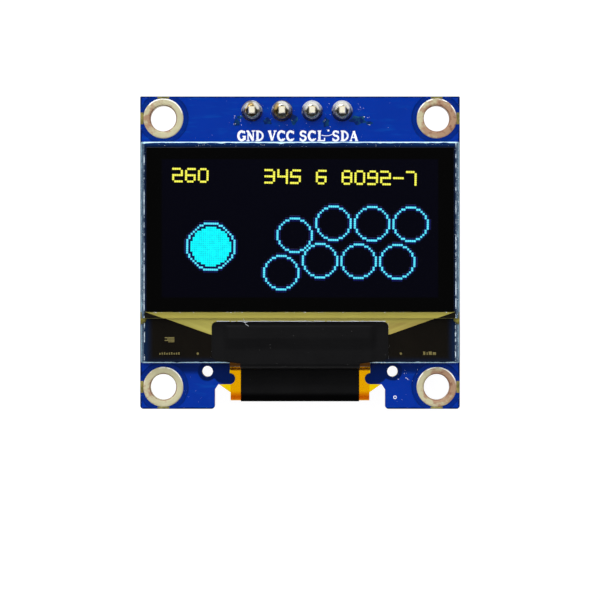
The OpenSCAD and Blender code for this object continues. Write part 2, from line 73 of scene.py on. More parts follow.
def adder(tree):
    """The one function that adds nodes to a tree. It is told the kind of node, with its operation after
    a space, and what goes into the sockets: in their order, or by name with _ for a space. That is a
    value, a colour in hex digits or a node's socket. Names in small letters are settings. It gives back
    the socket that comes out, the one that is named, or a list if several are."""
    def add(kind, *values, out=(), **named):
        kind, _, operation = kind.partition(" ")
        node = tree.nodes.new("ShaderNode" + kind)
        if operation:
            node.operation = operation
        if kind == "Mix":
            node.data_type = "RGBA"
        for name in filter(str.islower, list(named)):
            setattr(node, name, named.pop(name))
        sockets = list(zip([each for each in node.inputs if each.enabled], values))
        sockets += [(node.inputs[name.replace("_", " ")], value) for name, value in named.items()]
        for socket, value in sockets:
            if isinstance(value, bpy.types.NodeSocket):
                tree.links.new(value, socket)
            else:
                socket.default_value = linear(value) if isinstance(value, str) else value
        wanted = (out,) if isinstance(out, str) else out
        found = [each for each in node.outputs if (each.name in wanted if wanted else each.enabled)]
        return found if len(wanted) > 1 else found[0] if found else None
    return add


def start_material(name):
    """A new material, what adds nodes to it, and the place on the piece in millimetres."""
    material = bpy.data.materials.new(name)
    material.use_nodes = True
    material.node_tree.nodes.clear()
    add = adder(material.node_tree)
    place = add("VectorMath MULTIPLY", add("TexCoord", out="Object"), (1 / mm,) * 3)
    return material, add, place


def levelness(add):
    """How level a face lies: 1 if it is level, 0 if it stands upright."""
    return add("Math ABSOLUTE", add("SeparateXYZ", add("NewGeometry", out="True Normal"), out="Z"))


def size_of(node):
    """Lowest and highest corner of a CAD node, in millimetres."""
    low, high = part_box(node)
    return np.array(low) / mm, np.array(high) / mm


board_low, board_high = size_of("circuit_board")
ring_low, ring_high = size_of("mounting_hole_rings")
ring_r = 1.7  # outside radius of a mounting ring
ring_x, ring_y = ring_high[:2] - ring_r  # a mounting hole's axis, in the right-hand upper corner
locate_x, locate_y, locate_r = 7.82, -10.03, 0.8  # the two unplated holes, and the bare spot round each
inner_x, inner_y, inner_r = 6.2, -9.9, 1.25  # bare spots at the flex notch's inner corners
ear_x, ear_y, ear_half = 7.3, -9.6, 1.05  # and bare strips beside the notch, up to the ears
mask_clear = 0.42  # mask pulled back round a ring
pour_inset = (0.14, 0.1)  # copper kept back from the board's edges
thin_y = -9.78  # a band of thinned copper below the panel's edge
cloth_gap = 0.15  # between two of the laminate's eight cloths of glass
copper_t = 0.035  # thickness of the poured copper


def solder_mask_on_laminate():
    """Blue gloss solder mask, screened over copper and laminate. Over copper it is a clear bright
    blue, over bare laminate nearly black, and the routed edges show pale resin and glass."""
    material, add, place = start_material("blue_solder_mask_on_glass_fibre_laminate")
    x, y, z = add("SeparateXYZ", place, out=("X", "Y", "Z"))
    across, up = add("Math ABSOLUTE", x), add("Math ABSOLUTE", y)
    ripple = add("Math MULTIPLY_ADD", add("TexNoise", place, Scale=1.6, Detail=3.0), 0.16, -0.08)

    def inside_spot(u, u0, v, v0, radius):
        """How many millimetres a point lies inside a round spot without copper."""
        offset = add("CombineXYZ", add("Math SUBTRACT", u, u0), add("Math SUBTRACT", v, v0))
        return add("Math SUBTRACT", radius, add("VectorMath LENGTH", offset))

    near_ring = inside_spot(across, ring_x, up, ring_y, ring_r + mask_clear)
    from_ear = add("Math ABSOLUTE", add("Math ADD", y, -ear_y))
    patches = (
        add("Math SUBTRACT", up, board_high[1] - pour_inset[1]), near_ring,
        inside_spot(across, locate_x, y, locate_y, locate_r),
        inside_spot(across, inner_x, y, inner_y, inner_r),
        add("Math MINIMUM", add("Math SUBTRACT", ear_x, across), add("Math SUBTRACT", ear_half, from_ear)),
    )
    bare = add("Math SUBTRACT", across, board_high[0] - pour_inset[0])
    for patch in patches:
        bare = add("Math MAXIMUM", bare, patch)
    bare = add("Math ADD", bare, ripple)
    copper = add("MapRange", bare, 0.07, -0.07, interpolation_type="SMOOTHSTEP")
    from_band = add("Math ABSOLUTE", add("Math ADD", y, -thin_y))
    thinned = add("MapRange", from_band, 0.55, 0.2, 0.0, 0.8)
    thinned = add("Math MULTIPLY", thinned, add("MapRange", across, 11.2, 10.2))
    copper = add("Math MULTIPLY", copper, add("Math SUBTRACT", 1.0, thinned))

    cloud = add("TexNoise", place, Scale=0.35, Detail=5.0, Roughness=0.6)
    over_copper = add("Mix", cloud, "00288c", "00319e")
    streak = add("VectorMath MULTIPLY", place, (0.25, 1.6, 1.0))
    streak = add("TexNoise", streak, Scale=1.4, Detail=4.0, Roughness=0.6)
    streak = add("MapRange", streak, 0.56, 0.72, 0.0, 0.45)
    over_copper = add("Mix", streak, over_copper, "004aa6")
    over_resin = add("Mix", cloud, "001142", "001a58")
    pale = add("MapRange", near_ring, 0.0, 0.1, 0.0, 0.55)
    over_resin = add("Mix", pale, over_resin, over_copper)
    mask = add("Mix", copper, over_resin, over_copper)

    # the laminate's edge: cloths of glass in pale resin
    stretched = add("VectorMath MULTIPLY", place, (1.2, 1.2, 9.0))
    fibre = add("TexNoise", stretched, Scale=1.5, Detail=4.0)
    cloth = add("Math SINE", add("Math MULTIPLY", z, 2 * math.pi / cloth_gap))
    cloth = add("Math MULTIPLY_ADD", cloth, 0.12, fibre)
    edge = add("Mix", cloth, "6f6a45", "c3b98a")

    face = add("MapRange", levelness(add), 0.4, 0.6)
    colour = add("Mix", face, edge, mask)
    rough = add("MapRange", face, 0.0, 1.0, 0.7, 0.08)

    # the mask flows over the copper and leaves a soft step, on a fine orange peel
    peel = add("TexNoise", place, Scale=7.0, Detail=2.0)
    height = add("Math MULTIPLY_ADD", peel, 0.12, copper)
    relief = add("Bump", Strength=0.6, Distance=copper_t * mm, Height=height)
    add("OutputMaterial", add("BsdfPrincipled", Base_Color=colour, Roughness=rough, IOR=1.5, Normal=relief))
    return material


def coated(node, material):
    """A node of the CAD model, with its material."""
    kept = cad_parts[node]
    kept.data.materials.clear()
    kept.data.materials.append(material)
    return kept


coated("circuit_board", solder_mask_on_laminate())


# ---- Mounting hole rings ----
# A copper ring on each face, joined by a plated barrel through the board. The
# copper was dipped in molten tin, so the rings are slightly domed and uneven,
# and on the right-hand ones the tin is so thin that copper shows through.

def skin(points, round_rows=False, round_columns=False, caps=False):
    """A surface through a grid of points (rows, columns, 3): one quad between each four
    neighbours, joined round where asked, with a flat face over the first and last row for caps.
    If it is closed its faces are turned outwards, by the sign of the volume they enclose."""
    rows, columns = points.shape[:2]
    row = np.arange(rows if round_rows else rows - 1)[:, None]
    column = np.arange(columns if round_columns else columns - 1)[None, :]
    next_row = (row + 1) % rows
    next_column = (column + 1) % columns
    quads = np.stack([row * columns + column, row * columns + next_column,
                      next_row * columns + next_column, next_row * columns + column], axis=-1)
    quads = quads.reshape(-1, 4)
    faces = quads.tolist()
    flat = points.reshape(-1, 3)
    triangles = [quads[:, [0, 1, 2]], quads[:, [0, 2, 3]]]
    if caps:
        fan = np.arange(1, columns - 1)
        last = (rows - 1) * columns
        triangles.append(np.stack([0 * fan, fan + 1, fan], axis=-1))
        triangles.append(np.stack([0 * fan, fan, fan + 1], axis=-1) + last)
        faces.append(list(range(columns))[::-1])
        faces.append(list(range(last, last + columns)))
    if caps or (round_rows and round_columns):
        a, b, c = np.moveaxis((flat - flat.mean(axis=0))[np.concatenate(triangles)], 1, 0)
        if np.sum(a * np.cross(b, c)) < 0:
            faces = [face[::-1] for face in faces]
    return flat, faces


def joined(shapes):
    """Several shapes as one: their points in one list, with each one's faces counted on."""
    starts = np.cumsum([0] + [len(points) for points, _ in shapes])
    points = np.concatenate([points for points, _ in shapes])
    faces = [[i + int(start) for i in face] for start, (_, found) in zip(starts, shapes) for face in found]
    return points, faces


def moved(shape, offset):
    """The same shape in another place."""
    points, faces = shape
    return points + np.array(offset), faces


def new_piece(name, shape, material, crease=35):
    """A mesh object from a shape in millimetres, shaded smooth but for edges sharper than crease degrees."""
    points, faces = shape
    mesh = bpy.data.meshes.new(name)
    mesh.from_pydata((points * mm).tolist(), [], faces)
    mesh.polygons.foreach_set("use_smooth", np.ones(len(mesh.polygons), dtype=bool))
    mesh.set_sharp_from_angle(angle=math.radians(crease))
    mesh.materials.append(material)
    piece = bpy.data.objects.new(name, mesh)
    bpy.context.scene.collection.objects.link(piece)
    return piece


def turned(profile, steps=56, wobble=None, closed=False):
    """A profile of (radius, height) points carried round the Z axis. wobble(angle, radius) is
    added to the heights. A closed profile makes a ring, an open one is capped flat."""
    angle = np.linspace(0, 2 * math.pi, steps, endpoint=False)[None, :]
    radius, height = np.array(profile)[:, :1], np.array(profile)[:, 1:]
    height = height + (wobble(angle, radius) if wobble else 0 * angle)
    points = np.stack([radius * np.cos(angle), radius * np.sin(angle), height], axis=-1)
    return skin(points, round_rows=closed, round_columns=True, caps=not closed)


hole_r, wall_r = 1.09, 1.2  # the tin crept in and narrows the plated hole a little
land = ring_high[2] - board_high[2]  # height of a copper land over the board's face
tin_dome = 0.02  # how far the molten tin heaped up on the copper
lip_r = 0.09  # rounding from a ring into its barrel


def ring_profile():
    """Once round the section of a plated hole: out over the front ring, whose tin is heaped up
    as a low arch, down its rim, back under the rear ring and up the barrel."""
    u = np.linspace(0, 1, 13)
    face_r = hole_r + lip_r + (ring_r - 0.03 - hole_r - lip_r) * u
    arch = tin_dome * (1 - np.abs(2 * u - 1) ** 5)
    turn = np.radians(np.linspace(180, 90, 5))[:-1]
    lip = np.stack([hole_r + lip_r + lip_r * np.cos(turn), lip_r * (np.sin(turn) - 1)], axis=-1)
    top = np.concatenate([lip, np.stack([face_r, arch], axis=-1), [[ring_r, -land * 0.6]]])
    front = top + (0, ring_high[2] - tin_dome)
    back = top[::-1] * (1, -1) + (0, ring_low[2] + tin_dome)
    buried = [[ring_r, board_high[2] - 0.02], [wall_r, board_high[2] - 0.04],
              [wall_r, board_low[2] + 0.04], [ring_r, board_low[2] + 0.02]]
    return np.concatenate([front, buried, back])


def worn_tin_plate():
    """Hot-dipped tin on copper: a pale straw-grey metal with a dull, slightly cloudy sheen. Pink-brown
    copper shows in patches, most on the right, and in a line round each hole's mouth."""
    material, add, place = start_material("hot_dipped_tin_on_copper")
    x, y = add("SeparateXYZ", place, out=("X", "Y"))
    du = add("Math SUBTRACT", add("Math ABSOLUTE", x), ring_x)
    dv = add("Math SUBTRACT", add("Math ABSOLUTE", y), ring_y)
    dv = add("Math MULTIPLY", dv, add("Math SIGN", y))
    reach = add("VectorMath LENGTH", add("CombineXYZ", du, dv))
    cloud = add("TexNoise", place, Scale=1.3, Detail=6.0, Roughness=0.65)
    fine = add("TexNoise", place, Scale=9.0, Detail=4.0)
    tin = add("Mix", cloud, "b1a97f", "d4d0b0")
    rightward = add("MapRange", x, -9.0, 9.0, -0.16, 0.05)
    upward = add("MapRange", y, -9.0, 9.0, -0.04, 0.05)
    outboard = add("Math MULTIPLY_ADD", du, 0.09, rightward)
    inward = add("MapRange", reach, hole_r + 0.32, hole_r + 0.18, 0.0, 0.07)
    wear = cloud
    for share in (upward, outboard, inward):
        wear = add("Math ADD", wear, share)
    worn = add("MapRange", wear, 0.44, 0.62, 0.0, 0.8, interpolation_type="SMOOTHSTEP")
    colour = add("Mix", worn, tin, "a2735a")
    blotch = add("MapRange", add("TexNoise", place, Scale=2.4, Detail=2.0), 0.56, 0.62)
    deep = add("Math MULTIPLY", add("MapRange", wear, 0.6, 0.68, 0.0, 0.6), blotch)
    colour = add("Mix", deep, colour, "77432f")
    # painted highlight: a bright broken line along each ring's upper rim, on the side the light comes from
    rim = add("MapRange", reach, ring_r - 0.13, ring_r - 0.08)
    rise = add("MapRange", dv, 0.1, 0.9)
    broken = add("MapRange", cloud, 0.42, 0.5)
    for share in (rise, broken):
        rim = add("Math MULTIPLY", rim, share)
    colour = add("Mix", rim, colour, "fbfdf6")
    level = add("MapRange", levelness(add), 0.1, 0.3)
    mouth = add("MapRange", reach, hole_r + 0.09, hole_r + 0.05)
    gap = add("MapRange", cloud, 0.44, 0.52, 0.35, 1.0)
    for share in (level, gap):
        mouth = add("Math MULTIPLY", mouth, share)
    colour = add("Mix", mouth, colour, "7a4c30")
    rough = add("MapRange", fine, 0.3, 0.7, 0.36, 0.5)
    relief = add("Bump", Strength=0.25, Distance=0.02 * mm, Height=fine)
    shader = add("BsdfPrincipled", Base_Color=colour, Metallic=0.2, Roughness=rough, Normal=relief)
    add("OutputMaterial", shader)
    return material


tin_plate = worn_tin_plate()
shapes = []
for number, (side, end) in enumerate([(-1, 1), (1, 1), (-1, -1), (1, -1)]):
    shape = turned(
        ring_profile(), closed=True,
        wobble=lambda angle, radius: 0.012 * np.sin(3 * angle + 2 * number) * (radius > hole_r + lip_r),
    )
    shapes.append(moved(shape, (side * ring_x, end * ring_y, 0)))
rings = new_piece("mounting_rings", joined(shapes), tin_plate, crease=60)
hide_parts("mounting_hole_rings")
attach(rings, "root")


# ---- Bare copper at the board's edges ----
# Where a ring comes close to an edge of the board the mask was left off, and a
# sliver of tinned copper runs from the ring to the routed edge.

def box_shape(low, high, bevel=0.0, steps=2):
    """A block between two corners with all its edges rounded: level rectangles with round
    corners, drawn in by the bevel at the bottom and the top."""
    low, high = np.array(low, float), np.array(high, float)
    bevel = max(min(bevel, (high - low).min() * 0.45), 0.001)
    turn = np.radians(np.linspace(0, 90, steps + 1))
    inset = bevel * (1 - np.sin(turn))
    height = bevel * (1 - np.cos(turn))
    inset = np.concatenate([inset, inset[::-1]])
    height = np.concatenate([low[2] + height, high[2] - height[::-1]])
    quarter = np.concatenate([turn + math.pi / 2 * k for k in range(4)])
    corner = np.repeat([[1, 1], [-1, 1], [-1, -1], [1, -1]], steps + 1, axis=0)
    middle, half = (low[:2] + high[:2]) / 2, (high[:2] - low[:2]) / 2
    out = np.stack([np.cos(quarter), np.sin(quarter)], axis=-1)
    flat = middle + corner * (half - bevel) + out * bevel
    flat = flat[None] - out[None] * inset[:, None, None] * 0.999
    points = np.concatenate([flat, np.broadcast_to(height[:, None, None], (*flat.shape[:2], 1))], axis=-1)
    return skin(points, round_columns=True, caps=True)


sliver_len, under_ring, edge_gap = 1.0, 0.03, 0.01
sliver_z = (board_high[2] - 0.01, board_high[2] + 0.012)
shapes = []
for side in (-1, 1):
    for end in (-1, 1):
        x0, y0 = side * ring_x, end * ring_y
        edge_x, edge_y = side * (board_high[0] - edge_gap), end * (board_high[1] - edge_gap)
        in_x, in_y = side * (ring_x + ring_r - under_ring), end * (ring_y + ring_r - under_ring)
        shapes.append(box_shape((min(edge_x, in_x), y0 - sliver_len / 2, sliver_z[0]),
                                (max(edge_x, in_x), y0 + sliver_len / 2, sliver_z[1])))
        shapes.append(box_shape((x0 - sliver_len / 2, min(edge_y, in_y), sliver_z[0]),
                                (x0 + sliver_len / 2, max(edge_y, in_y), sliver_z[1])))


def mottled(name, tones, grain, contrast=None, rough=0.5, relief=None, **more):
    """A surface of two close tones that drift into each other as a cloudy noise does. grain is the
    noise's scale per millimetre, its detail and roughness, and contrast is the part of its range over
    which the tones change. rough is one value, or goes from one to another with the noise, and relief
    is the strength and the depth in millimetres of its bumps."""
    material, add, place = start_material(name)
    noise = add("TexNoise", place, *grain)
    share = add("MapRange", noise, *contrast) if contrast else noise
    more["Base_Color"] = add("Mix", share, *tones)
    more["Roughness"] = add("MapRange", noise, *rough) if isinstance(rough, tuple) else rough
    if relief:
        more["Normal"] = add("Bump", Strength=relief[0], Distance=relief[1] * mm, Height=noise)
    add("OutputMaterial", add("BsdfPrincipled", **more))
    return material


# thinly tinned copper, stained by flux: dull olive, mottled brown
stained_copper = mottled("flux_stained_copper", ("5f5c30", "9a8f4c"), (2.2, 4.0), (0.35, 0.65), Metallic=0.3)
slivers = new_piece("edge_copper", joined(shapes), stained_copper)
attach(slivers, "root")


# ---- Header: rings, pins and spacer ----
# Four square pins of plated brass, pressed through one black moulded spacer and
# soldered in four plated holes. The pins' tips stand above the joints in front,
# and 6 mm of each stays free behind, for the socket.

def drawn_plated_brass():
    """Brass wire drawn square and flash plated: a pale cream gold with fine lines along each pin."""
    material, add, place = start_material("drawn_brass_wire_with_flash_plating")
    stretched = add("VectorMath MULTIPLY", place, (14.0, 14.0, 0.8))
    lines = add("TexNoise", stretched, Scale=1.0, Detail=4.0)
    cloud = add("TexNoise", place, Scale=0.9, Detail=3.0)
    colour = add("Mix", cloud, "d8c48c", "f0e6c4")
    rough = add("MapRange", lines, 0.3, 0.7, 0.2, 0.4)
    # the cut end of each pin is wetted with solder and looks frosted
    end = add("SeparateXYZ", add("NewGeometry", out="True Normal"), out="Z")
    end = add("Math GREATER_THAN", end, 0.9)
    colour = add("Mix", end, colour, "efe9d2")
    rough = add("Math MULTIPLY_ADD", end, 0.25, rough)
    metal = add("MapRange", end, 0.0, 1.0, 1.0, 0.3)
    relief = add("Bump", Strength=0.35, Distance=0.01 * mm, Height=lines)
    shader = add("BsdfPrincipled", Base_Color=colour, Metallic=metal, Roughness=rough, Normal=relief)
    add("OutputMaterial", shader)
    return material


coated("header_hole_rings", tin_plate)
coated("header_pins", drawn_plated_brass())
pin_low, pin_high = size_of("header_pins")
spacer_low, spacer_high = size_of("header_spacer")
pin_side, pin_count = 0.64, 4
pin_x = np.linspace(pin_low[0] + pin_side / 2, pin_high[0] - pin_side / 2, pin_count)
pin_y = (pin_low[1] + pin_high[1]) / 2
pin_pitch = pin_x[1] - pin_x[0]


def necked_bar():
    """The spacer, carried along X. Its section is a rectangle with rounded edges. Its depth is
    drawn in by 0.3 mm at 45 degrees where two pins' blocks meet, and at both ends."""
    neck, bevel = 0.3, 0.1
    along = spacer_low[0] + np.unique(np.concatenate([
        [[k * pin_pitch, k * pin_pitch + bevel / 3, k * pin_pitch + neck, (k + 0.5) * pin_pitch,
          (k + 1) * pin_pitch - neck, (k + 1) * pin_pitch - bevel / 3, (k + 1) * pin_pitch]
         for k in range(pin_count)]]).ravel().round(4))
    to_joint = np.abs((along - spacer_low[0] + pin_pitch / 2) % pin_pitch - pin_pitch / 2)
    half = (spacer_high[1] - spacer_low[1]) / 2 - np.maximum(neck - to_joint, 0)
    half[[0, -1]] -= bevel * 0.4
    middle = (spacer_high + spacer_low) / 2
    tall = (spacer_high[2] - spacer_low[2]) / 2 - bevel
    turn = np.radians(np.concatenate([90 * k + np.array([0, 45, 90]) for k in range(4)]))
    corner = np.repeat([[1, 1], [-1, 1], [-1, -1], [1, -1]], 3, axis=0)
    y = middle[1] + corner[None, :, 0] * (half[:, None] - bevel) + bevel * np.cos(turn)[None]
    z = middle[2] + corner[None, :, 1] * tall + bevel * np.sin(turn)[None] + 0 * half[:, None]
    x = np.broadcast_to(along[:, None], y.shape)
    return skin(np.stack([x, y, z], axis=-1), round_columns=True, caps=True)


def moulded_black_plastic():
    """Glass-filled nylon from a mould: near black, matt, with a faint grain and paler rubbed spots."""
    material, add, place = start_material("moulded_glass_filled_black_nylon")
    grain = add("TexNoise", place, Scale=12.0, Detail=5.0)
    cloud = add("TexNoise", place, Scale=0.8, Detail=3.0)
    colour = add("Mix", cloud, "101011", "242425")
    rough = add("MapRange", grain, 0.3, 0.7, 0.38, 0.6)
    relief = add("Bump", Strength=0.4, Distance=0.02 * mm, Height=grain)
    add("OutputMaterial", add("BsdfPrincipled", Base_Color=colour, Roughness=rough, IOR=1.5, Normal=relief))
    return material


black_nylon = moulded_black_plastic()
spacer = new_piece("pin_spacer", necked_bar(), black_nylon, crease=30)
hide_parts("header_spacer")
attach(spacer, "root")


# ---- Solder joints of the header ----
# Each pin was soldered from the front with a generous blob, which stands as a
# nearly round bright bead on its ring, with the pin's bevelled tip on top.

def bright_solder():
    """Tin-lead solder that cooled undisturbed: a mirror-like grey metal with a few frosty streaks."""
    material, add, place = start_material("bright_tin_lead_solder")
    frost = add("TexNoise", place, Scale=3.0, Detail=4.0, Roughness=0.6)
    rough = add("MapRange", frost, 0.45, 0.75, 0.05, 0.22)
    colour = add("Mix", frost, "e6e6e2", "bdbbb2")
    # a film of cooked flux tints the first two joints gold in places
    x, z = add("SeparateXYZ", place, out=("X", "Z"))
    film = add("MapRange", add("TexNoise", place, Scale=1.3, Detail=3.0), 0.48, 0.56, 0.0, 0.85)
    early = add("MapRange", x, 0.5, -0.5)
    film = add("Math MULTIPLY", film, early)
    colour = add("Mix", film, colour, "a8842c")
    # the foot of each bead froze first and is dull under oxide; there it is painted light and shade: white
    # with broken painted glints on its upper side, dark on its lower side
    foot = add("MapRange", z, board_high[2] + 1.05, board_high[2] + 0.75)
    painted_lit_top = add("SeparateXYZ", add("NewGeometry", out="Normal"), out="Y")
    painted_lit_top = add("MapRange", add("Math MULTIPLY_ADD", frost, 2.4, painted_lit_top), 1.05, 1.65)
    dull = add("Mix", film, add("Mix", painted_lit_top, "26282b", "ced0ca"), "5a4a1c")
    colour = add("Mix", foot, colour, dull)
    rough = add("Math MULTIPLY_ADD", foot, 0.2, rough)
    metal = add("MapRange", foot, 0.0, 1.0, 1.0, 0.2)
    relief = add("Bump", Strength=0.6, Distance=0.05 * mm, Height=frost)
    shader = add("BsdfPrincipled", Base_Color=colour, Metallic=metal, Roughness=rough, Normal=relief)
    add("OutputMaterial", shader)
    return material


solder = bright_solder()
joint_low, joint_high = size_of("header_solder")
joint_r = (joint_high[1] - joint_low[1]) / 2
wet_r, bore_r = 0.882, 0.5  # the solder wets the whole of each header ring, and fills its barrel
joint_foot = board_high[2] + land
joint_top = joint_high[2]


def solder_bead(lean):
    """A bead of revolution: the radius falls as a quarter of a steep ellipse from the ring to the
    pin, above a short hollow foot, and the bead leans a little to one side."""
    u = np.radians(np.linspace(0, 90, 20))
    pin_r, foot_h = pin_side * 0.45, 0.07
    radius = pin_r + (joint_r - 0.04 - pin_r) * np.cos(u) ** 0.9
    height = joint_foot + foot_h + (joint_top - joint_foot - foot_h) * np.sin(u)
    foot = [[wet_r, joint_foot - land], [wet_r, joint_foot + 0.01], [joint_r - 0.02, joint_foot + 0.035]]
    closing = [[pin_side * 0.3, joint_top - 0.02]]
    profile = np.concatenate([foot, np.stack([radius, height], axis=-1), closing])
    points, faces = turned(profile, steps=56)
    lift = (points[:, 2] - joint_foot) / (joint_top - joint_foot)
    points = points + lift[:, None] * np.sin(math.pi * lift)[:, None] * np.array([*lean, 0])
    return points, faces


leans = [(0.03, -0.02), (-0.03, 0.03), (0.0, -0.03), (0.02, 0.01)]
shapes = [moved(solder_bead(lean), (x, pin_y, 0)) for lean, x in zip(leans, pin_x)]
tail_z = board_low[2] - land  # the holes are filled flush behind
for x in pin_x:
    below = [[0.34, tail_z - 0.03], [0.44, tail_z - 0.01]]
    plug = turned([*below, [bore_r, tail_z + 0.03], [bore_r, joint_foot]])
    shapes.append(moved(plug, (x, pin_y, 0)))
beads = new_piece("header_solder_beads", joined(shapes), solder, crease=70)
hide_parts("header_solder")
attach(beads, "root")


# ---- Printed pin names ----
# White epoxy ink, screened on the mask in front below each header joint: the
# plain name of each pin's signal, in small serif capitals 0.87 mm high.

def arc(middle, radii, start, end, points=12):
    """Points along an ellipse's arc, from one angle in degrees to another."""
    angle = np.radians(np.linspace(start, end, points))
    return np.array(middle) + np.array(radii) * np.stack([np.cos(angle), np.sin(angle)], axis=-1)


def ribbon(path, width, low, high):
    """A flat bar of rectangular section carried along a path of (x, y) points. At each point it is
    widened across the mean direction of the two stretches that meet there."""
    path = np.array(path, float)
    ahead = np.gradient(path, axis=0)
    ahead /= np.linalg.norm(ahead, axis=1, keepdims=True)
    side = np.stack([-ahead[:, 1], ahead[:, 0]], axis=-1) * width / 2
    left, right = path + side, path - side
    flat = np.stack([left, right, right, left], axis=1)
    height = np.broadcast_to(np.array([low, low, high, high])[None, :, None], (len(path), 4, 1))
    return skin(np.concatenate([flat, height], axis=-1), round_columns=True, caps=True)


# Strokes of each letter in a unit square, with their widths in millimetres. A straight one has its
# two ends, a round one the middle and radii of an ellipse and the angles it runs between.
thick, thin = 0.2, 0.1
letters = {
    "G": [(0.5, 0.5, 0.38, 0.44, 48, 322, thick), (0.84, 0.1, 0.84, 0.45, thick),
          (0.6, 0.45, 1.0, 0.45, thin), (0.84, 0.72, 0.84, 0.97, thin)],
    "N": [(0.2, 0.03, 0.2, 0.97, thin), (0.16, 0.97, 0.8, 0.03, thick), (0.8, 0.03, 0.8, 0.97, thin),
          (0.02, 0.03, 0.38, 0.03, thin), (0.0, 0.97, 0.24, 0.97, thin), (0.62, 0.97, 1.0, 0.97, thin)],
    "D": [(0.24, 0.03, 0.24, 0.97, thick), (0.3, 0.5, 0.56, 0.44, -90, 90, 0.8 * thick),
          (0.02, 0.03, 0.4, 0.03, thin), (0.02, 0.97, 0.4, 0.97, thin)],
    "V": [(0.16, 0.97, 0.5, 0.05, thick), (0.5, 0.05, 0.84, 0.97, thin), (0.0, 0.97, 0.36, 0.97, thin),
          (0.66, 0.97, 1.0, 0.97, thin)],
    "C": [(0.52, 0.5, 0.4, 0.44, 48, 312, thick), (0.86, 0.68, 0.86, 0.97, thin),
          (0.84, 0.14, 0.92, 0.26, thin)],
    "S": [(0.5, 0.73, 0.27, 0.22, 25, 270, 0.85 * thick), (0.5, 0.27, 0.31, 0.24, 90, -155, 0.85 * thick),
          (0.8, 0.72, 0.8, 0.97, thin), (0.18, 0.03, 0.18, 0.3, thin)],
    "L": [(0.3, 0.03, 0.3, 0.97, thick), (0.06, 0.04, 0.92, 0.04, thin), (0.08, 0.97, 0.5, 0.97, thin),
          (0.9, 0.03, 0.9, 0.3, thin)],
    "A": [(0.5, 0.97, 0.14, 0.03, thin), (0.48, 0.97, 0.84, 0.03, thick), (0.26, 0.34, 0.72, 0.34, thin),
          (0.0, 0.03, 0.3, 0.03, thin), (0.66, 0.03, 1.0, 0.03, thin)],
}
cap_h, letter_w, letter_pitch = 0.87, 0.72, 0.765
label_y = pin_y - 2.11  # middle of the letters, below the row of pins
ink_z = (board_high[2] + 0.002, board_high[2] + 0.022)

# heat-cured epoxy legend ink: opaque cool white, slightly matt, thinner along its edges
white_ink = mottled(
    "screened_white_epoxy_ink", ("dfe6f2", "ffffff"), (4.0, 4.0), (0.35, 0.6), relief=(0.3, 0.01),
)
shapes = []
for word, centre_x in zip(("GND", "VCC", "SCL", "SDA"), pin_x + [-0.11, -0.06, 0.0, 0.22]):
    for place, letter in enumerate(word):
        corner = np.array([centre_x + (place - 1) * letter_pitch - letter_w / 2, label_y - cap_h / 2])
        for number, (*ends, width) in enumerate(letters[letter]):
            path = arc(ends[:2], ends[2:4], *ends[4:]) if len(ends) > 4 else np.reshape(ends, (2, 2))
            # strokes that cross are a micrometre apart in height, so that no two faces coincide
            top = ink_z[1] + 0.001 * number
            shapes.append(ribbon(corner + path * (letter_w, cap_h), width, ink_z[0], top))
names = new_piece("printed_pin_names", joined(shapes), white_ink)
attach(names, "root")


# ---- Foam tape under the panel ----
# Two strips of white double-sided foam tape, 0.3 mm thick, hold the panel on the
# board. Only their edges can be seen, in the gap at the panel's sides.

def closed_cell_foam():
    """Closed-cell polyethylene foam: off-white, dull, with tiny round cells."""
    material, add, place = start_material("closed_cell_foam_tape")
    cells = add("TexVoronoi", place, Scale=9.0, out="Distance")
    colour = add("Mix", cells, "dad8cf", "f1efe8")
    relief = add("Bump", Strength=0.6, Distance=0.05 * mm, Height=cells)
    add("OutputMaterial", add("BsdfPrincipled", Base_Color=colour, Roughness=0.9, Normal=relief))
    return material


coated("foam_pads", closed_cell_foam())


# ---- The panel's two glasses ----
# Two sheets of soda-lime glass, scribed and snapped to size, with their sharp
# arrises ground off. The rear one is longer and its open ledge, blacked from
# behind, carries the tracks. They are bonded face to face round their edges.

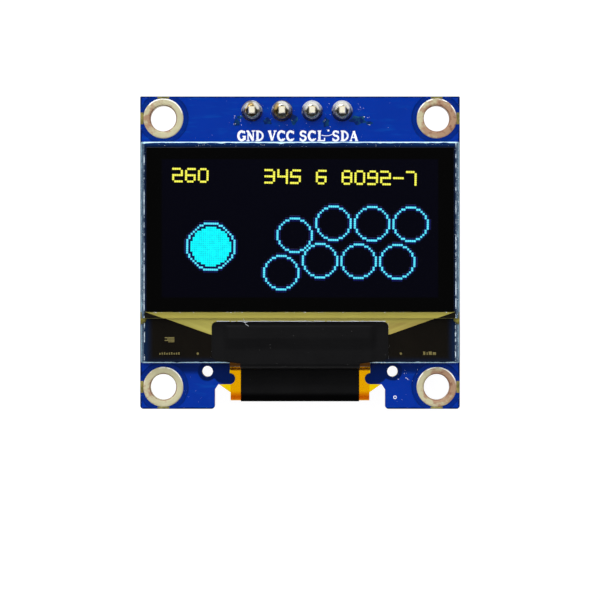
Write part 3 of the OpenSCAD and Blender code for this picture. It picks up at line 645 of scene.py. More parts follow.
def chipped_plate(low, high, arris, depth, seed, low_side=1.0):
    """A sheet of glass between two corners. Its outline is sampled every 0.12 mm, and each of its
    eight edges is cut off by an arris whose width wanders, with a few deeper chips: a smooth random
    walk, plus a handful of narrow bumps. low_side scales the arris of the side that faces the flex."""
    chance = np.random.default_rng(seed)
    step, corner_r, chip_count = 0.12, 0.12, 40
    middle, spans = (low + high)[:2] / 2, (high - low)[:2] - 2 * corner_r
    counts = np.maximum((spans / step).astype(int), 2)
    flat, out = [], []
    corners = np.array([(1, -1), (1, 1), (-1, 1), (-1, -1)])
    for k, (here, after) in enumerate(zip(corners, np.roll(corners, -1, axis=0))):
        turn = np.radians(np.linspace(90 * k - 90, 90 * k, 4))
        outward = np.stack([np.cos(turn), np.sin(turn)], axis=-1)
        bend = middle + here * spans / 2 + corner_r * outward
        target = middle + after * spans / 2 + corner_r * outward[-1]
        share = np.linspace(0, 1, counts[1 - k % 2], endpoint=False)[1:, None]
        flat += [bend, bend[-1] * (1 - share) + target * share]
        out += [outward, np.broadcast_to(outward[-1], (len(share), 2))]
    flat, out = np.concatenate(flat), np.concatenate(out)
    count = len(flat)

    def wander():
        """The width of one arris all the way round."""
        rough = chance.standard_normal(count)
        window = np.hanning(9) / np.hanning(9).sum()
        smooth = np.convolve(np.pad(rough, 4, mode="wrap"), window, "valid")
        chips = np.zeros(count)
        places = chance.integers(0, count, chip_count)
        chips[places] = chance.uniform(0.1, 1.0, chip_count) ** 2
        chips = np.convolve(np.pad(chips, 2, mode="wrap"), [0.2, 0.7, 1.0, 0.7, 0.2], "valid")
        return arris * (1 + 0.45 * smooth) + depth * np.minimum(chips, 1)

    top, bottom = wander() * np.where(out[:, 1] < -0.9, low_side, 1), wander()
    rings = [(bottom, low[2] + 0 * bottom), (0 * bottom, low[2] + bottom * 0.8),
             (0 * top, high[2] - top * 0.8), (top, high[2] + 0 * top)]
    points = np.stack([np.column_stack([flat - out * inset[:, None], height]) for inset, height in rings])
    return skin(points, round_columns=True, caps=True)


rear_low, rear_high = size_of("rear_glass")
front_low, front_high = size_of("front_glass")
film_low, film_high = size_of("polarizer")
tape_half, tape_top_y = size_of("cover_tape")[1][:2]
step_y, glass_edge, ledge_z = front_low[1], rear_low[1], rear_high[2]
fan_top_half, fan_low = 13.0, -6.95  # the tracks' half width at the film, and where they meet the tape


def cut_glass(name, border, depths, olive_above=None):
    """Soda-lime glass with a dark backing, seen edge on and face on. The face is a deep navy or black
    with a hard gloss, the snapped sides are clear and dark with bright threads of refracted light, and
    the ground arrises are frosted pale blue. Where tracks run behind it, the face looks olive gold."""
    material, add, place = start_material(name)
    x, y = add("SeparateXYZ", place, out=("X", "Y"))
    across = add("Math ABSOLUTE", x)
    from_side = add("Math SUBTRACT", rear_high[0], across)
    from_top = add("Math SUBTRACT", rear_high[1], y)
    cloud = add("TexNoise", place, Scale=0.5, Detail=3.0)
    fine = add("TexNoise", place, Scale=6.0, Detail=5.0, Roughness=0.7)

    face = add("Mix", add("MapRange", from_top, 0.4, 0.12), add("Mix", cloud, *depths), "0a2c62")
    streak = add("MapRange", fine, 0.3, 0.7)
    ground = add("Mix", streak, "8fc4e0", "cfe8f4")
    ground = add("Mix", add("MapRange", from_side, 0.3, 0.15, 0.0, 0.75), ground, "4f7080")
    if olive_above is not None:
        # behind this border the tracks gather, so it is gold inside a line down to each side
        slope = add("MapRange", y, olive_above, fan_low, fan_top_half, tape_half, clamp=False)
        inside = add("MapRange", add("Math SUBTRACT", slope, across), -0.03, 0.03)
        gold = add("Mix", cloud, "978e42", "aba24c")
        # painted light: the gold is lightened along the film's edge, to cancel the film's shade there
        painted_light_by_film = add("MapRange", y, olive_above - 0.16, olive_above - 0.02)
        gold = add("Mix", inside, "14120d", add("Mix", painted_light_by_film, gold, "d0c462"))
        olive = add("MapRange", y, olive_above + 0.02, olive_above - 0.02)
        face = add("Mix", olive, face, gold)
        ground = add("Mix", olive, ground, add("Mix", inside, "6d6a34", gold))
    else:
        # on the open ledge the black backing turns navy towards the edges
        from_end = add("Math ADD", add("Math SUBTRACT", y, rear_low[1]), 0.5)
        near = add("Math MINIMUM", from_side, from_end)
        navy = add("MapRange", near, 1.1, 0.1, interpolation_type="SMOOTHSTEP")
        face = add("Mix", navy, face, "0a2040")
    band = add("MapRange", from_side, border, border * 0.55, interpolation_type="SMOOTHSTEP")
    face = add("Mix", band, face, add("Mix", streak, "26384e", "62788c"))
    # a bright broken thread runs along the band, where the cut catches the light
    thread = add("MapRange", add("Math ABSOLUTE", add("Math SUBTRACT", from_side, 0.3)), 0.05, 0.02)
    broken = add("TexNoise", add("VectorMath MULTIPLY", place, (0.2, 1.0, 1.0)), Scale=1.8, Detail=4.0)
    thread = add("Math MULTIPLY", thread, add("MapRange", broken, 0.45, 0.6))
    face = add("Mix", thread, face, "cfe0ec")

    stretched = add("VectorMath MULTIPLY", place, (0.35, 0.35, 6.0))
    threads = add("MapRange", add("TexNoise", stretched, Scale=1.0, Detail=2.0), 0.5, 0.75, 0.0, 0.8)
    side = add("Mix", threads, "1b2f38", "7b9aa4")
    flat_face = add("Math GREATER_THAN", levelness(add), 0.96)
    upright_side = add("Math LESS_THAN", levelness(add), 0.2)
    colour = add("Mix", upright_side, add("Mix", flat_face, ground, face), side)
    rough = add("MapRange", add("Math MAXIMUM", flat_face, upright_side), 0.0, 1.0, 0.42, 0.06)
    relief = add("Bump", Strength=0.25, Distance=0.02 * mm, Height=fine)
    add("OutputMaterial", add("BsdfPrincipled", Base_Color=colour, Roughness=rough, IOR=1.52, Normal=relief))
    return material


rear = new_piece("rear_glass_sheet", chipped_plate(rear_low, rear_high, 0.07, 0.07, 3),
                 cut_glass("blacked_soda_lime_glass", 0.3, ("0c0a08", "15120d")), crease=12)
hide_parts("rear_glass")
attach(rear, "root")

front = new_piece("front_glass_sheet", chipped_plate(front_low, front_high, 0.09, 0.06, 4, 0.25),
                  cut_glass("clear_soda_lime_glass", 0.38, ("030f2a", "061736"), film_low[1]), crease=12)
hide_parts("front_glass")
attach(front, "root")


# ---- Sealant and adhesive drops ----
# A bead of cured epoxy bonds the glasses round their edges. A drop of clear
# yellowish adhesive at each end of the glass step locks them together.

# cured epoxy: translucent yellow-olive, glossy, with trapped haze
epoxy = mottled(
    "cured_clear_epoxy", ("4c4a16", "a39c4a"), (2.5, 4.0), rough=0.15, relief=(0.3, 0.03), IOR=1.55,
    Subsurface_Weight=0.15, Subsurface_Radius=(0.001, 0.001, 0.0004), Subsurface_Scale=0.2,
)
for node in ("sealant_frame", "adhesive_drops"):
    coated(node, epoxy)


# ---- Polarizer film ----
# A circular polarizer, 0.2 mm of stretched film with a hard gloss coat, die-cut
# and rolled on the front glass. It swallows nearly all light, and looks black.

live_low, live_high = size_of("pixel_layer")
dot_h = 0.012  # how far the lit dots stand over the film, at its full height


def coated_polarizer():
    """Iodine-dyed film under a clear hard coat: a deep neutral black, very slightly blue over the
    panel's live area, with a mirror gloss and the faintest waviness."""
    material, add, place = start_material("hard_coated_circular_polarizer")
    x, y = add("SeparateXYZ", place, out=("X", "Y"))
    in_x = add("Math SUBTRACT", live_high[0], add("Math ABSOLUTE", x))
    from_middle = add("Math ABSOLUTE", add("Math SUBTRACT", y, (live_low[1] + live_high[1]) / 2))
    in_y = add("Math SUBTRACT", (live_high[1] - live_low[1]) / 2, from_middle)
    live = add("MapRange", add("Math MINIMUM", in_x, in_y), -0.05, 0.05)
    colour = add("Mix", live, "020202", "03030c")
    wave = add("TexNoise", place, Scale=0.12, Detail=1.0)
    rough = add("MapRange", wave, 0.0, 1.0, 0.03, 0.06)
    relief = add("Bump", Strength=0.02, Distance=0.2 * mm, Height=wave)
    add("OutputMaterial", add("BsdfPrincipled", Base_Color=colour, Roughness=rough, IOR=1.49, Normal=relief))
    return material


film_top = film_high - (0, 0, dot_h)
film_shape = box_shape(film_low, film_top, bevel=0.016, steps=3)
polarizer = new_piece("polarizer_film", film_shape, coated_polarizer())
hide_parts("polarizer")
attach(polarizer, "root")


# ---- Lit dots ----
# The live layer between the glasses, 128 by 64 dots of which the upper sixteen
# rows glow yellow and the rest cyan. The dots that are on show as small round-
# cornered plates of light at the film's face: digits, a disc and eight rings.

dot_columns, dot_rows = 128, 64
dot_pitch, dot_fill = np.array([0.1801, 0.1755]), 0.99  # and the share of its pitch that a dot covers
live_middle = (live_low[:2] + live_high[:2]) / 2 + (0.01, 0.03)
picture_tilt = math.radians(-0.8)  # the layer sits a little askew between the glasses
column, row = np.meshgrid(np.arange(dot_columns), np.arange(dot_rows))

# a digit lights some of seven bars, each given as first and last column, first and last row
digit_w, digit_h, digit_pitch, text_row = 5, 7, 6, 4
bars = {
    "top": (0, 4, 0, 0), "upper right": (4, 4, 0, 3), "lower right": (4, 4, 3, 6), "bottom": (0, 4, 6, 6),
    "lower left": (0, 0, 3, 6), "upper left": (0, 0, 0, 3), "middle": (0, 4, 3, 3),
}
dark_bars = {
    "0": ["middle"], "2": ["upper left", "lower right"], "3": ["upper left", "lower left"],
    "4": ["top", "bottom", "lower left"], "5": ["upper right", "lower left"], "6": ["upper right"],
    "7": ["upper left", "lower left", "middle", "bottom"], "8": [], "9": ["lower left"],
    "-": [bar for bar in bars if bar != "middle"],
}


def digit_cell(digit):
    """The dots of one digit: its lit bars, without the corner dot where two of them meet."""
    lit_bars = set(bars) - set(dark_bars[digit])
    cell = np.zeros((digit_h, digit_w), dtype=bool)
    for c0, c1, r0, r1 in (bars[bar] for bar in lit_bars):
        cell[r0:r1 + 1, c0:c1 + 1] = True
    for level, last_row in (("top", 0), ("bottom", digit_h - 1)):
        for side, last_column in (("left", 0), ("right", digit_w - 1)):
            if {level, level.replace("top", "upper").replace("bottom", "lower") + " " + side} <= lit_bars:
                cell[last_row, last_column] = False
    return cell


yellow = np.zeros((dot_rows, dot_columns), dtype=bool)
for first, text in ((4, "260"), (47, "345"), (71, "6"), (83, "8092-7")):
    for number, digit in enumerate(text):
        left = first + number * digit_pitch
        yellow[text_row:text_row + digit_h, left:left + digit_w] = digit_cell(digit)


def ring_of_dots(centre, radius):
    """A circle one dot thick: in each eighth of it, the dot nearest to the true circle."""
    aside, down = np.abs(column - centre[0]), np.abs(row - centre[1])
    near, far = np.minimum(aside, down), np.maximum(aside, down)
    return (near < far) & (far == np.rint(np.sqrt(np.maximum(radius ** 2 - near ** 2, 0))))


disc = (22, 41)
disc_lit = np.hypot(column - disc[0], row - disc[1]) < 9.4
rings_lit = ring_of_dots(disc, 11)
for centre in ((79, 29), (97, 29), (115, 29), (61, 35), (73, 47), (91, 47), (109, 47), (55, 53)):
    rings_lit |= ring_of_dots(centre, 8)


def dot_plates(lit, cut):
    """One small octagonal plate with a rounded upper edge for each dot that is lit. All are worked
    out at once: the plate's points are added to every dot's place."""
    found_row, found_column = np.nonzero(lit)
    flat = np.stack([found_column + 0.5 - dot_columns / 2, dot_rows / 2 - found_row - 0.5], axis=-1)
    cos, sin = math.cos(picture_tilt), math.sin(picture_tilt)
    flat = flat * dot_pitch @ np.array([[cos, sin], [-sin, cos]]) + live_middle
    half = dot_pitch * dot_fill / 2
    quarter = np.array([[1, cut], [cut, 1]])
    octagon = np.concatenate([quarter, quarter[::-1] * (-1, 1), -quarter, quarter[::-1] * (1, -1)])
    levels = [(1.0, film_top[2] - 0.01), (1.0, film_top[2] + dot_h * 0.6), (0.8, film_top[2] + dot_h)]
    plate = np.stack([np.column_stack([octagon * half * share, np.full(8, z)]) for share, z in levels])
    points, faces = skin(plate, round_columns=True, caps=True)
    places = np.column_stack([flat, np.zeros(len(flat))])
    faces = [[i + k * len(points) for i in face] for k in range(len(places)) for face in faces]
    return (places[:, None] + points[None]).reshape(-1, 3), faces


def glowing_dots(name, bright, dim):
    """Organic layers lit by a current, seen through the film's gloss: coloured light, brightest in
    the middle of each dot and dimmer round it, and a little uneven over the panel."""
    material, add, place = start_material(name)
    patch = add("TexNoise", place, Scale=3.0, Detail=2.0)
    glow = add("MapRange", patch, 0.3, 0.7, 0.95, 1.15)
    # each point's place in its own dot: counted in dots from the panel's middle, less the whole dots
    middle, pitch = (*live_middle, 0.0), (*dot_pitch, 1.0)
    cell = add("Mapping", place, middle, (0.0, 0.0, picture_tilt), pitch, vector_type="TEXTURE")
    cell = add("VectorMath SUBTRACT", add("VectorMath FRACTION", cell), (0.5, 0.5, 0.5))
    cell = add("VectorMath MULTIPLY", cell, (1.0, 1.0, 0.0))
    out = add("VectorMath LENGTH", cell)
    out = add("MapRange", out, 0.25, 0.65, interpolation_type="SMOOTHSTEP")
    colour = add("Mix", out, bright, dim)
    shader = add("BsdfPrincipled", Base_Color="050505", Roughness=0.2, IOR=1.49,
                 Emission_Color=colour, Emission_Strength=glow)
    add("OutputMaterial", shader)
    return material


cyan = rings_lit | disc_lit
padded = np.pad(cyan, 1)
stray = (padded[:-2, 1:-1] | padded[2:, 1:-1] | padded[1:-1, :-2] | padded[1:-1, 2:]) & ~cyan
for name, lit, cut, bright, dim in (
    ("yellow_dots", yellow, 0.75, "fffd60", "d4d030"), ("ring_dots", rings_lit, 0.75, "66ecfb", "10b4f0"),
    ("disc_dots", disc_lit, 0.86, "02faff", "00e2f2"), ("stray_light", stray, 0.75, "030a4a", "020630"),
):
    light = glowing_dots("organic_light_" + name, bright, dim)
    dots = new_piece(name, dot_plates(lit, cut), light, crease=80)
    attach(dots, "root")

# the dark, faintly violet mirror of the metal behind the organic layers
unlit_organic_layer = mottled(
    "unlit_organic_layers_on_metal", ("0a0a12", "181826"), (0.5, 2.0), rough=0.2, Metallic=0.6,
)
coated("pixel_layer", unlit_organic_layer)


# ---- Track fan-out on the ledge ----
# Hundreds of fine metal tracks, a few thousandths of a millimetre wide, run from
# the panel's lower border down the ledge and gather towards the driver chip.
# Together they look like a dull gold sheet. Registration marks sit beside them.

# the sheet's half width at the glass step
fan_half = np.interp(step_y, [fan_low, film_low[1]], [tape_half, fan_top_half])
fan_z = ledge_z + 0.004


def fan_sheet(rows=14, columns=90):
    """A ruled sheet just above the ledge. Its rows run from the glass step down to the tape, each
    one narrower than the last, and it has a thickness of three micrometres at its rim."""
    u = np.linspace(-1, 1, columns)[None, :]
    v = np.linspace(0, 1, rows)[:, None]
    half = fan_half + (tape_half - fan_half) * v
    y = step_y + 0.03 + (fan_low - step_y - 0.03) * v + 0 * u
    points = np.stack([u * half, y, np.full_like(y, fan_z)], axis=-1)
    points[0, :, 2] -= 0.003
    points[-1, :, 2] -= 0.003
    points[:, [0, -1], 2] -= 0.003
    flat, faces = skin(points)
    return flat, [face[::-1] for face in faces]


def etched_tracks():
    """Molybdenum and aluminium tracks under glass: a satiny olive gold, combed by fine lines that
    lean towards the chip, greener at the left and browner at the right."""
    material, add, place = start_material("etched_metal_tracks_under_varnish")
    x, y = add("SeparateXYZ", place, out=("X", "Y"))
    # lines fan out: each keeps its share of the sheet's width as the sheet narrows downwards
    width = add("MapRange", y, step_y, fan_low, 1.0, tape_half / fan_half)
    share = add("Math DIVIDE", x, width)
    comb = add("CombineXYZ", share, 0.0, 0.0)
    lines = add("TexNoise", comb, Scale=9.0, Detail=6.0, Roughness=0.8)
    bands = add("TexNoise", comb, Scale=1.1, Detail=1.0)
    cloud = add("TexNoise", place, Scale=1.2, Detail=4.0)
    rightward = add("MapRange", x, -12.0, 12.0)
    colour = add("Mix", rightward, "b4ae52", "a99a48")
    dark = add("Mix", rightward, "a29a44", "937f38")
    mixed = add("Math MULTIPLY_ADD", bands, 0.4, add("Math MULTIPLY_ADD", lines, 0.6, 0.0))
    mixed = add("MapRange", mixed, 0.4, 0.58)
    colour = add("Mix", mixed, dark, colour)
    # painted light: the metal is lightened against the glass step, to cancel the shade of the step
    painted_light_at_step = add("MapRange", y, float(step_y) - 0.45, step_y, 0.0, 0.8)
    colour = add("Mix", painted_light_at_step, colour, "d6cb5c")
    rough = add("MapRange", cloud, 0.0, 1.0, 0.45, 0.6)
    relief = add("Bump", Strength=0.25, Distance=0.01 * mm, Height=lines)
    shader = add("BsdfPrincipled", Base_Color=colour, Metallic=0.05, Roughness=rough, Normal=relief)
    add("OutputMaterial", shader)
    return material


tracks = new_piece("track_fan_out", fan_sheet(), etched_tracks())
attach(tracks, "root")

# evaporated aluminium marks, seen under varnish: pale gold, slightly mottled
pale_marks = mottled("evaporated_metal_marks", ("5f5730", "8f8450"), (8.0, 3.0), Metallic=0.4)
mark_z = (ledge_z - 0.02, ledge_z + 0.006)
shapes = []
# a block with a stepped notch, as a comb of short bars
for k, (x0, x1) in enumerate([(-11.39, -10.58), (-11.2, -10.58), (-11.39, -10.58), (-11.1, -10.58)]):
    y1 = -7.13 - 0.115 * k
    shapes.append(box_shape((x0, y1 - 0.085, mark_z[0]), (x1, y1, mark_z[1])))
# plain bars at the right, and a round dot on each side
for k, (x0, x1) in enumerate([(10.37, 10.55), (10.66, 10.76), (10.84, 11.1), (11.18, 11.45)]):
    shapes.append(box_shape((x0, -8.62, mark_z[0]), (x1, -8.34 - 0.06 * (k % 2), mark_z[1])))
for x in (-8.61, 8.49):
    shapes.append(moved(turned([[0.1, mark_z[0]], [0.1, mark_z[1]]], steps=24), (x, -8.51, 0)))
for k in range(9):
    x0 = -11.85 + 0.2 * k
    shapes.append(box_shape((x0, -8.6, mark_z[0]), (x0 + 0.11, -8.46 + 0.03 * (k % 3), mark_z[1] - 0.003)))
marks = new_piece("ledge_marks", joined(shapes), pale_marks)
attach(marks, "root")


# ---- Driver chip ----
# A bare sliver of silicon, polished on its face and bonded upside down on the
# tracks. The tape covers it, and only the tape's hump shows where it is.

# polished silicon with sawn sides: a dark blue-grey mirror
sawn_silicon = mottled(
    "polished_and_sawn_silicon", ("33363d", "4b4f58"), (1.5, 2.0), rough=(0.0, 1.0, 0.12, 0.25),
    Metallic=0.7,
)
coated("driver_chip", sawn_silicon)


# ---- Flex circuit ----
# An amber polyimide film, 0.12 mm thick with its copper and cover. It is bonded
# to the ledge, dives through the notch, folds behind the ears, widens and climbs
# back to the board, where its copper fingers are soldered to a row of lands.

flex_low, flex_high = size_of("flex_circuit")
flex_t, fold_r, dive_r = 0.12, 0.6, 0.25
flex_half, tail_half = 5.9, flex_high[0]  # half width over the glass and at the tail
fold_y = flex_low[1] + flex_t / 2 + fold_r
behind_z = -0.16  # its middle, where it runs behind the ears
rest_z = board_low[2] - land - flex_t / 2  # and where it lies on the lands
over_z = ledge_z + flex_t / 2  # and on the ledge
crest_y = glass_edge - 0.04
bond_y, tail_end_y = glass_edge + 1.15, flex_high[1]  # its two ends
finger_pitch = 0.5


def bend(middle, radius, start, end, step=5):
    """Points round a bend in the Y-Z plane, from one angle in degrees to another."""
    count = int(abs(end - start) / step) + 1
    angle = np.radians(np.linspace(start, end, count))
    return np.array(middle) + radius * np.stack([np.cos(angle), np.sin(angle)], axis=-1)


def evenly(path, gap):
    """A path with points added on its straight runs, so that no two are further apart than gap."""
    pieces = [path[:1]]
    for before, after in zip(path[:-1], path[1:]):
        count = max(1, math.ceil(np.linalg.norm(after - before) / gap))
        pieces.append(before + (after - before) * (np.arange(1, count + 1) / count)[:, None])
    return np.concatenate(pieces)


dive, climb, landing_r = 85, 20, 1.0
drop = over_z - behind_z
dive_len = (drop - 2 * dive_r * (1 - math.cos(math.radians(dive)))) / math.sin(math.radians(dive))
foot_y = crest_y - 2 * dive_r * math.sin(math.radians(dive)) - dive_len * math.cos(math.radians(dive))
climb_cos, climb_sin = math.cos(math.radians(climb)), math.sin(math.radians(climb))
climb_len = (rest_z - behind_z - landing_r * (1 - climb_cos) + fold_r * (1 + climb_cos)) / climb_sin
landing_y = fold_y + (fold_r + landing_r) * climb_sin + climb_len * climb_cos
crest = bend((crest_y, over_z - dive_r), dive_r, 90, 90 + dive)
foot = bend((foot_y, behind_z + dive_r), dive_r, 270 + dive, 270)
fold = bend((fold_y, behind_z - fold_r), fold_r, 90, 270 + climb)
landing = bend((landing_y, rest_z - landing_r), landing_r, 90 + climb, 90)
flex_path = evenly(np.concatenate([
    [[bond_y, over_z]], crest, foot, fold, landing, [[tail_end_y, rest_z]],
]), 0.35)


def across_path(path):
    """The direction square to a path in the Y-Z plane, on its front side, at each of its points."""
    ahead = np.gradient(path, axis=0)
    ahead /= np.linalg.norm(ahead, axis=1, keepdims=True)
    return np.stack([ahead[:, 1], -ahead[:, 0]], axis=-1)


def swept_film(path, half_width, thickness, columns=2):
    """A film of even thickness whose middle follows a path in the Y-Z plane. Its two faces are the
    path moved to both sides, and its long sides and its two ends are closed."""
    front = path + across_path(path) * thickness / 2
    back = path - across_path(path) * thickness / 2
    share = np.linspace(-1, 1, columns)
    x = np.concatenate([share, share[::-1]])[None, :] * half_width[:, None]
    yz = np.concatenate([np.repeat(face[:, None], columns, 1) for face in (front, back)], axis=1)
    return skin(np.concatenate([x[..., None], yz], axis=-1), round_columns=True, caps=True)


def distance_along(path):
    """How far each point of a path is from its start."""
    return np.concatenate([[0], np.cumsum(np.linalg.norm(np.diff(path, axis=0), axis=1))])


gusset_angle = 36  # how steeply the sides run where the film widens
gusset_top = fold_y + (tail_half - flex_half) * math.tan(math.radians(gusset_angle))
turned_back = distance_along(flex_path) > distance_along(flex_path)[np.argmin(flex_path[:, 0])]
widening = np.clip((flex_path[:, 0] - fold_y) / (gusset_top - fold_y), 0, 1) * turned_back
flex_width = flex_half + (tail_half - flex_half) * widening


def amber_polyimide():
    """Two layers of polyimide film: clear deep amber, glossy. Light that comes through loses its
    blue, and more of it where two turns of the film lie over each other. The copper fingers and
    the tracks show as darker lines on the tail."""
    material, add, place = start_material("amber_polyimide_film_with_copper")
    x, y, z = add("SeparateXYZ", place, out=("X", "Y", "Z"))
    cloud = add("TexNoise", place, Scale=0.8, Detail=3.0)
    fine = add("TexNoise", place, Scale=6.0, Detail=3.0)

    # copper tracks at the fingers' pitch, but not in the bare margins or in front of the board
    comb = add("Math COSINE", add("Math MULTIPLY", x, 2 * math.pi / finger_pitch))
    comb = add("MapRange", comb, -0.15, -0.35)
    across = add("Math ABSOLUTE", x)
    inner = add("MapRange", across, float(tail_half) - 0.22, float(tail_half) - 0.24)
    reach = add("MapRange", y, -9.5, -9.3)
    behind = add("MapRange", z, -0.05, -0.1)
    copper = add("Math MULTIPLY", add("Math MULTIPLY", comb, inner), reach)
    copper = add("Math MULTIPLY", copper, behind)

    tint = add("Mix", cloud, "fae61e", "fcea30")
    # painted shade: the film's tint is a deeper orange round the fold
    painted_fold_shade = add("MapRange", y, -11.75, -12.25, 0.0, 0.75)
    tint = add("Mix", painted_fold_shade, tint, "e8b41e")
    through = add("BsdfTransparent", Color=tint)
    amber = add("Mix", copper, add("Mix", cloud, "d88a04", "f0a410"), "a05c12")
    # painted shade: the film is painted dark brown where it dives through the notch
    plane = add("MapRange", y, -10.05, -9.8)
    amber = add("Mix", plane, amber, "4a2c0a")
    relief = add("Bump", Strength=0.06, Distance=0.05 * mm, Height=fine)
    solid = add("BsdfPrincipled", Base_Color=amber, Roughness=0.16, Specular_IOR_Level=0.2, Normal=relief)
    cover = add("MapRange", copper, 0.0, 1.0, 0.04, 0.97)
    # painted shade: where the film dives through the notch it is made nearly opaque, so that its painted
    # dark brown shows
    painted_dive_cover = add("MapRange", y, -10.02, -9.86, 0.0, 0.93)
    cover = add("Math MAXIMUM", cover, painted_dive_cover)
    film = add("MixShader", cover, through, solid)
    gloss = add("Math MULTIPLY", add("Fresnel", IOR=1.45, Normal=relief), 0.35)
    shine = add("BsdfGlossy", Color="f4b848", Roughness=0.12, Normal=relief)
    add("OutputMaterial", add("MixShader", gloss, film, shine))
    return material


flex = new_piece("flex_film", swept_film(flex_path, flex_width, flex_t - 0.002, columns=16),
                 amber_polyimide(), crease=50)
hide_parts("flex_circuit")
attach(flex, "root")


# ---- Soldered fingers of the flex ----
# 28 tinned lands on the board's back at half a millimetre, each with a bead of
# solder that joins it to its finger of the flex.

# hot-bar solder: satin grey, finely grained, with brighter crests
satin_solder = mottled(
    "hot_bar_tin_solder", ("8f9194", "d2d4d2"), (5.0, 5.0, 0.65), rough=(0.3, 0.7, 0.22, 0.45),
    relief=(0.5, 0.03), Metallic=1.0,
)
coated("flex_lands", tin_plate)
coated("flex_solder", satin_solder)


# ---- Cover tape ----
# Matt black polyester tape, 0.08 mm thick. It is pressed over the chip and the
# flex's bond, narrows below the glass, and runs down the flex and round its fold.

tape_t, chip_t, chip_half = 0.08, 0.3, 5.7
tape_tail_half, tail_back = 5.03, 1.0  # the tail's half width, and how far it goes on past the fold
wide_low_y = -9.16  # where the wide part ends
top_corner_r, low_corner_r = 0.43, 0.65  # the wide part's rounded corners
chip_low, chip_high = size_of("driver_chip")


def tape_surface():
    """The middle of the tape as a grid. On the ledge its height follows the chip and the flex
    under it, with rounded shoulders, and sinks to the ledge beyond the chip's ends. Past the
    glass edge it follows the flex. Its half width follows the rounded outline of the wide part
    and then the narrow tail."""
    lie = [(wide_low_y, flex_t), (bond_y, flex_t), (chip_low[1], chip_t), (chip_high[1] + 0.02, chip_t),
           (tape_top_y - 0.15, 0), (tape_top_y, 0)]
    y = np.linspace(tape_top_y, wide_low_y, 60)
    height = np.pad(np.interp(y, *np.array(lie).T), 2, mode="edge")
    height = np.convolve(height, [0.1, 0.2, 0.4, 0.2, 0.1], "valid")
    on_ledge = np.stack([y, ledge_z + height + tape_t / 2], axis=-1)

    run = flex_path[np.argmin(np.abs(flex_path[:, 0] - crest_y)):]
    lengths = distance_along(run)
    run = run[lengths < lengths[np.argmin(run[:, 0])] + fold_r * math.radians(90 + climb) + tail_back]
    on_flex = run + across_path(run) * (flex_t + tape_t) / 2

    def rounding(distance, radius):
        """How far a rounded corner stands in from the side, at a distance from the end."""
        return radius - np.sqrt(np.maximum(radius * radius - np.maximum(radius - distance, 0) ** 2, 0))

    wide = tape_half - rounding(tape_top_y - y, top_corner_r) - rounding(y - wide_low_y, low_corner_r)
    half = np.concatenate([wide, np.full(len(on_flex), tape_tail_half)])
    x = np.linspace(-1, 1, 91)[None, :] * half[:, None]
    yz = np.repeat(np.concatenate([on_ledge, on_flex])[:, None], x.shape[1], axis=1)
    ease = np.clip((np.abs(x[:len(y)]) - chip_half - 0.15) / 0.7, 0, 1)
    ease = ease * ease * (3 - 2 * ease)
    yz[:len(y), :, 1] -= (yz[:len(y), :, 1] - ledge_z - tape_t / 2) * ease
    return np.concatenate([x[..., None], yz], axis=-1)


def matt_black_polyester():
    """Black polyester tape: nearly matt, with a fine leathery grain, tiny pale dust specks and soft
    creases that run across it where it bends."""
    material, add, place = start_material("matt_black_polyester_tape")
    grain = add("TexNoise", place, Scale=9.0, Detail=6.0, Roughness=0.7)
    cloud = add("TexNoise", place, Scale=0.5, Detail=3.0)
    stretched = add("VectorMath MULTIPLY", place, (0.15, 3.0, 3.0))
    crease = add("TexNoise", stretched, Scale=1.0, Detail=3.0)
    speck = add("TexVoronoi", place, Scale=1.6, out="Distance")
    speck = add("MapRange", speck, 0.05, 0.03, 0.0, 0.35)
    colour = add("Mix", speck, add("Mix", cloud, "0e0e0f", "141415"), "8c8c8a")
    # painted shade: a little darker in a band below the glass, and much darker round the fold, where the
    # tape turns under
    y = add("SeparateXYZ", place, out="Y")
    below = add("MapRange", y, -9.85, -10.3, 0.0, 0.22)
    shade_band_end = add("MapRange", y, -11.1, -11.45, 0.0, 0.22)
    fold_shade = add("MapRange", y, -11.8, -12.15, 0.0, 0.7)
    painted_tape_shade = add("Math ADD", add("Math SUBTRACT", below, shade_band_end), fold_shade)
    colour = add("Mix", painted_tape_shade, colour, "000000")
    level = add("MapRange", fold_shade, 0.0, 0.6, 0.07, 0.0)
    rough = add("MapRange", grain, 0.3, 0.7, 0.42, 0.6)
    height = add("Math MULTIPLY_ADD", crease, 1.5, grain)
    relief = add("Bump", Strength=0.35, Distance=0.03 * mm, Height=height)
    shader = add("BsdfPrincipled", Base_Color=colour, Roughness=rough, Specular_IOR_Level=level,
                 Normal=relief)
    add("OutputMaterial", shader)
    return material


def sheet_with_thickness(grid, thickness):
    """A closed sheet about a grid of points: the grid moved to both sides along its own normals,
    with its rim closed. The section of one row runs along one face and back along the other."""
    normal = np.cross(np.gradient(grid, axis=1), np.gradient(grid, axis=0))
    normal /= np.linalg.norm(normal, axis=2, keepdims=True)
    one, other = grid + normal * thickness / 2, grid - normal * thickness / 2
    return skin(np.concatenate([one, other[:, ::-1]], axis=1), round_columns=True, caps=True)


tape_sheet = sheet_with_thickness(tape_surface(), tape_t)
tape = new_piece("cover_tape_sheet", tape_sheet, matt_black_polyester(), crease=50)
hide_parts("cover_tape")
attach(tape, "root")


# ---- Small parts on the back ----
# Seven ceramic capacitors, six resistors, a three-lead regulator and a diode,
# reflowed on tinned lands behind the panel. All of them are soldered by machine.

# electroplated tin over nickel: a soft satin silver
matt_tin = mottled(
    "electroplated_matt_tin", ("b4b6b8", "dcdddd"), (7.0, 4.0), rough=(0.0, 1.0, 0.25, 0.5),
    relief=(0.3, 0.02), Metallic=1.0,
)
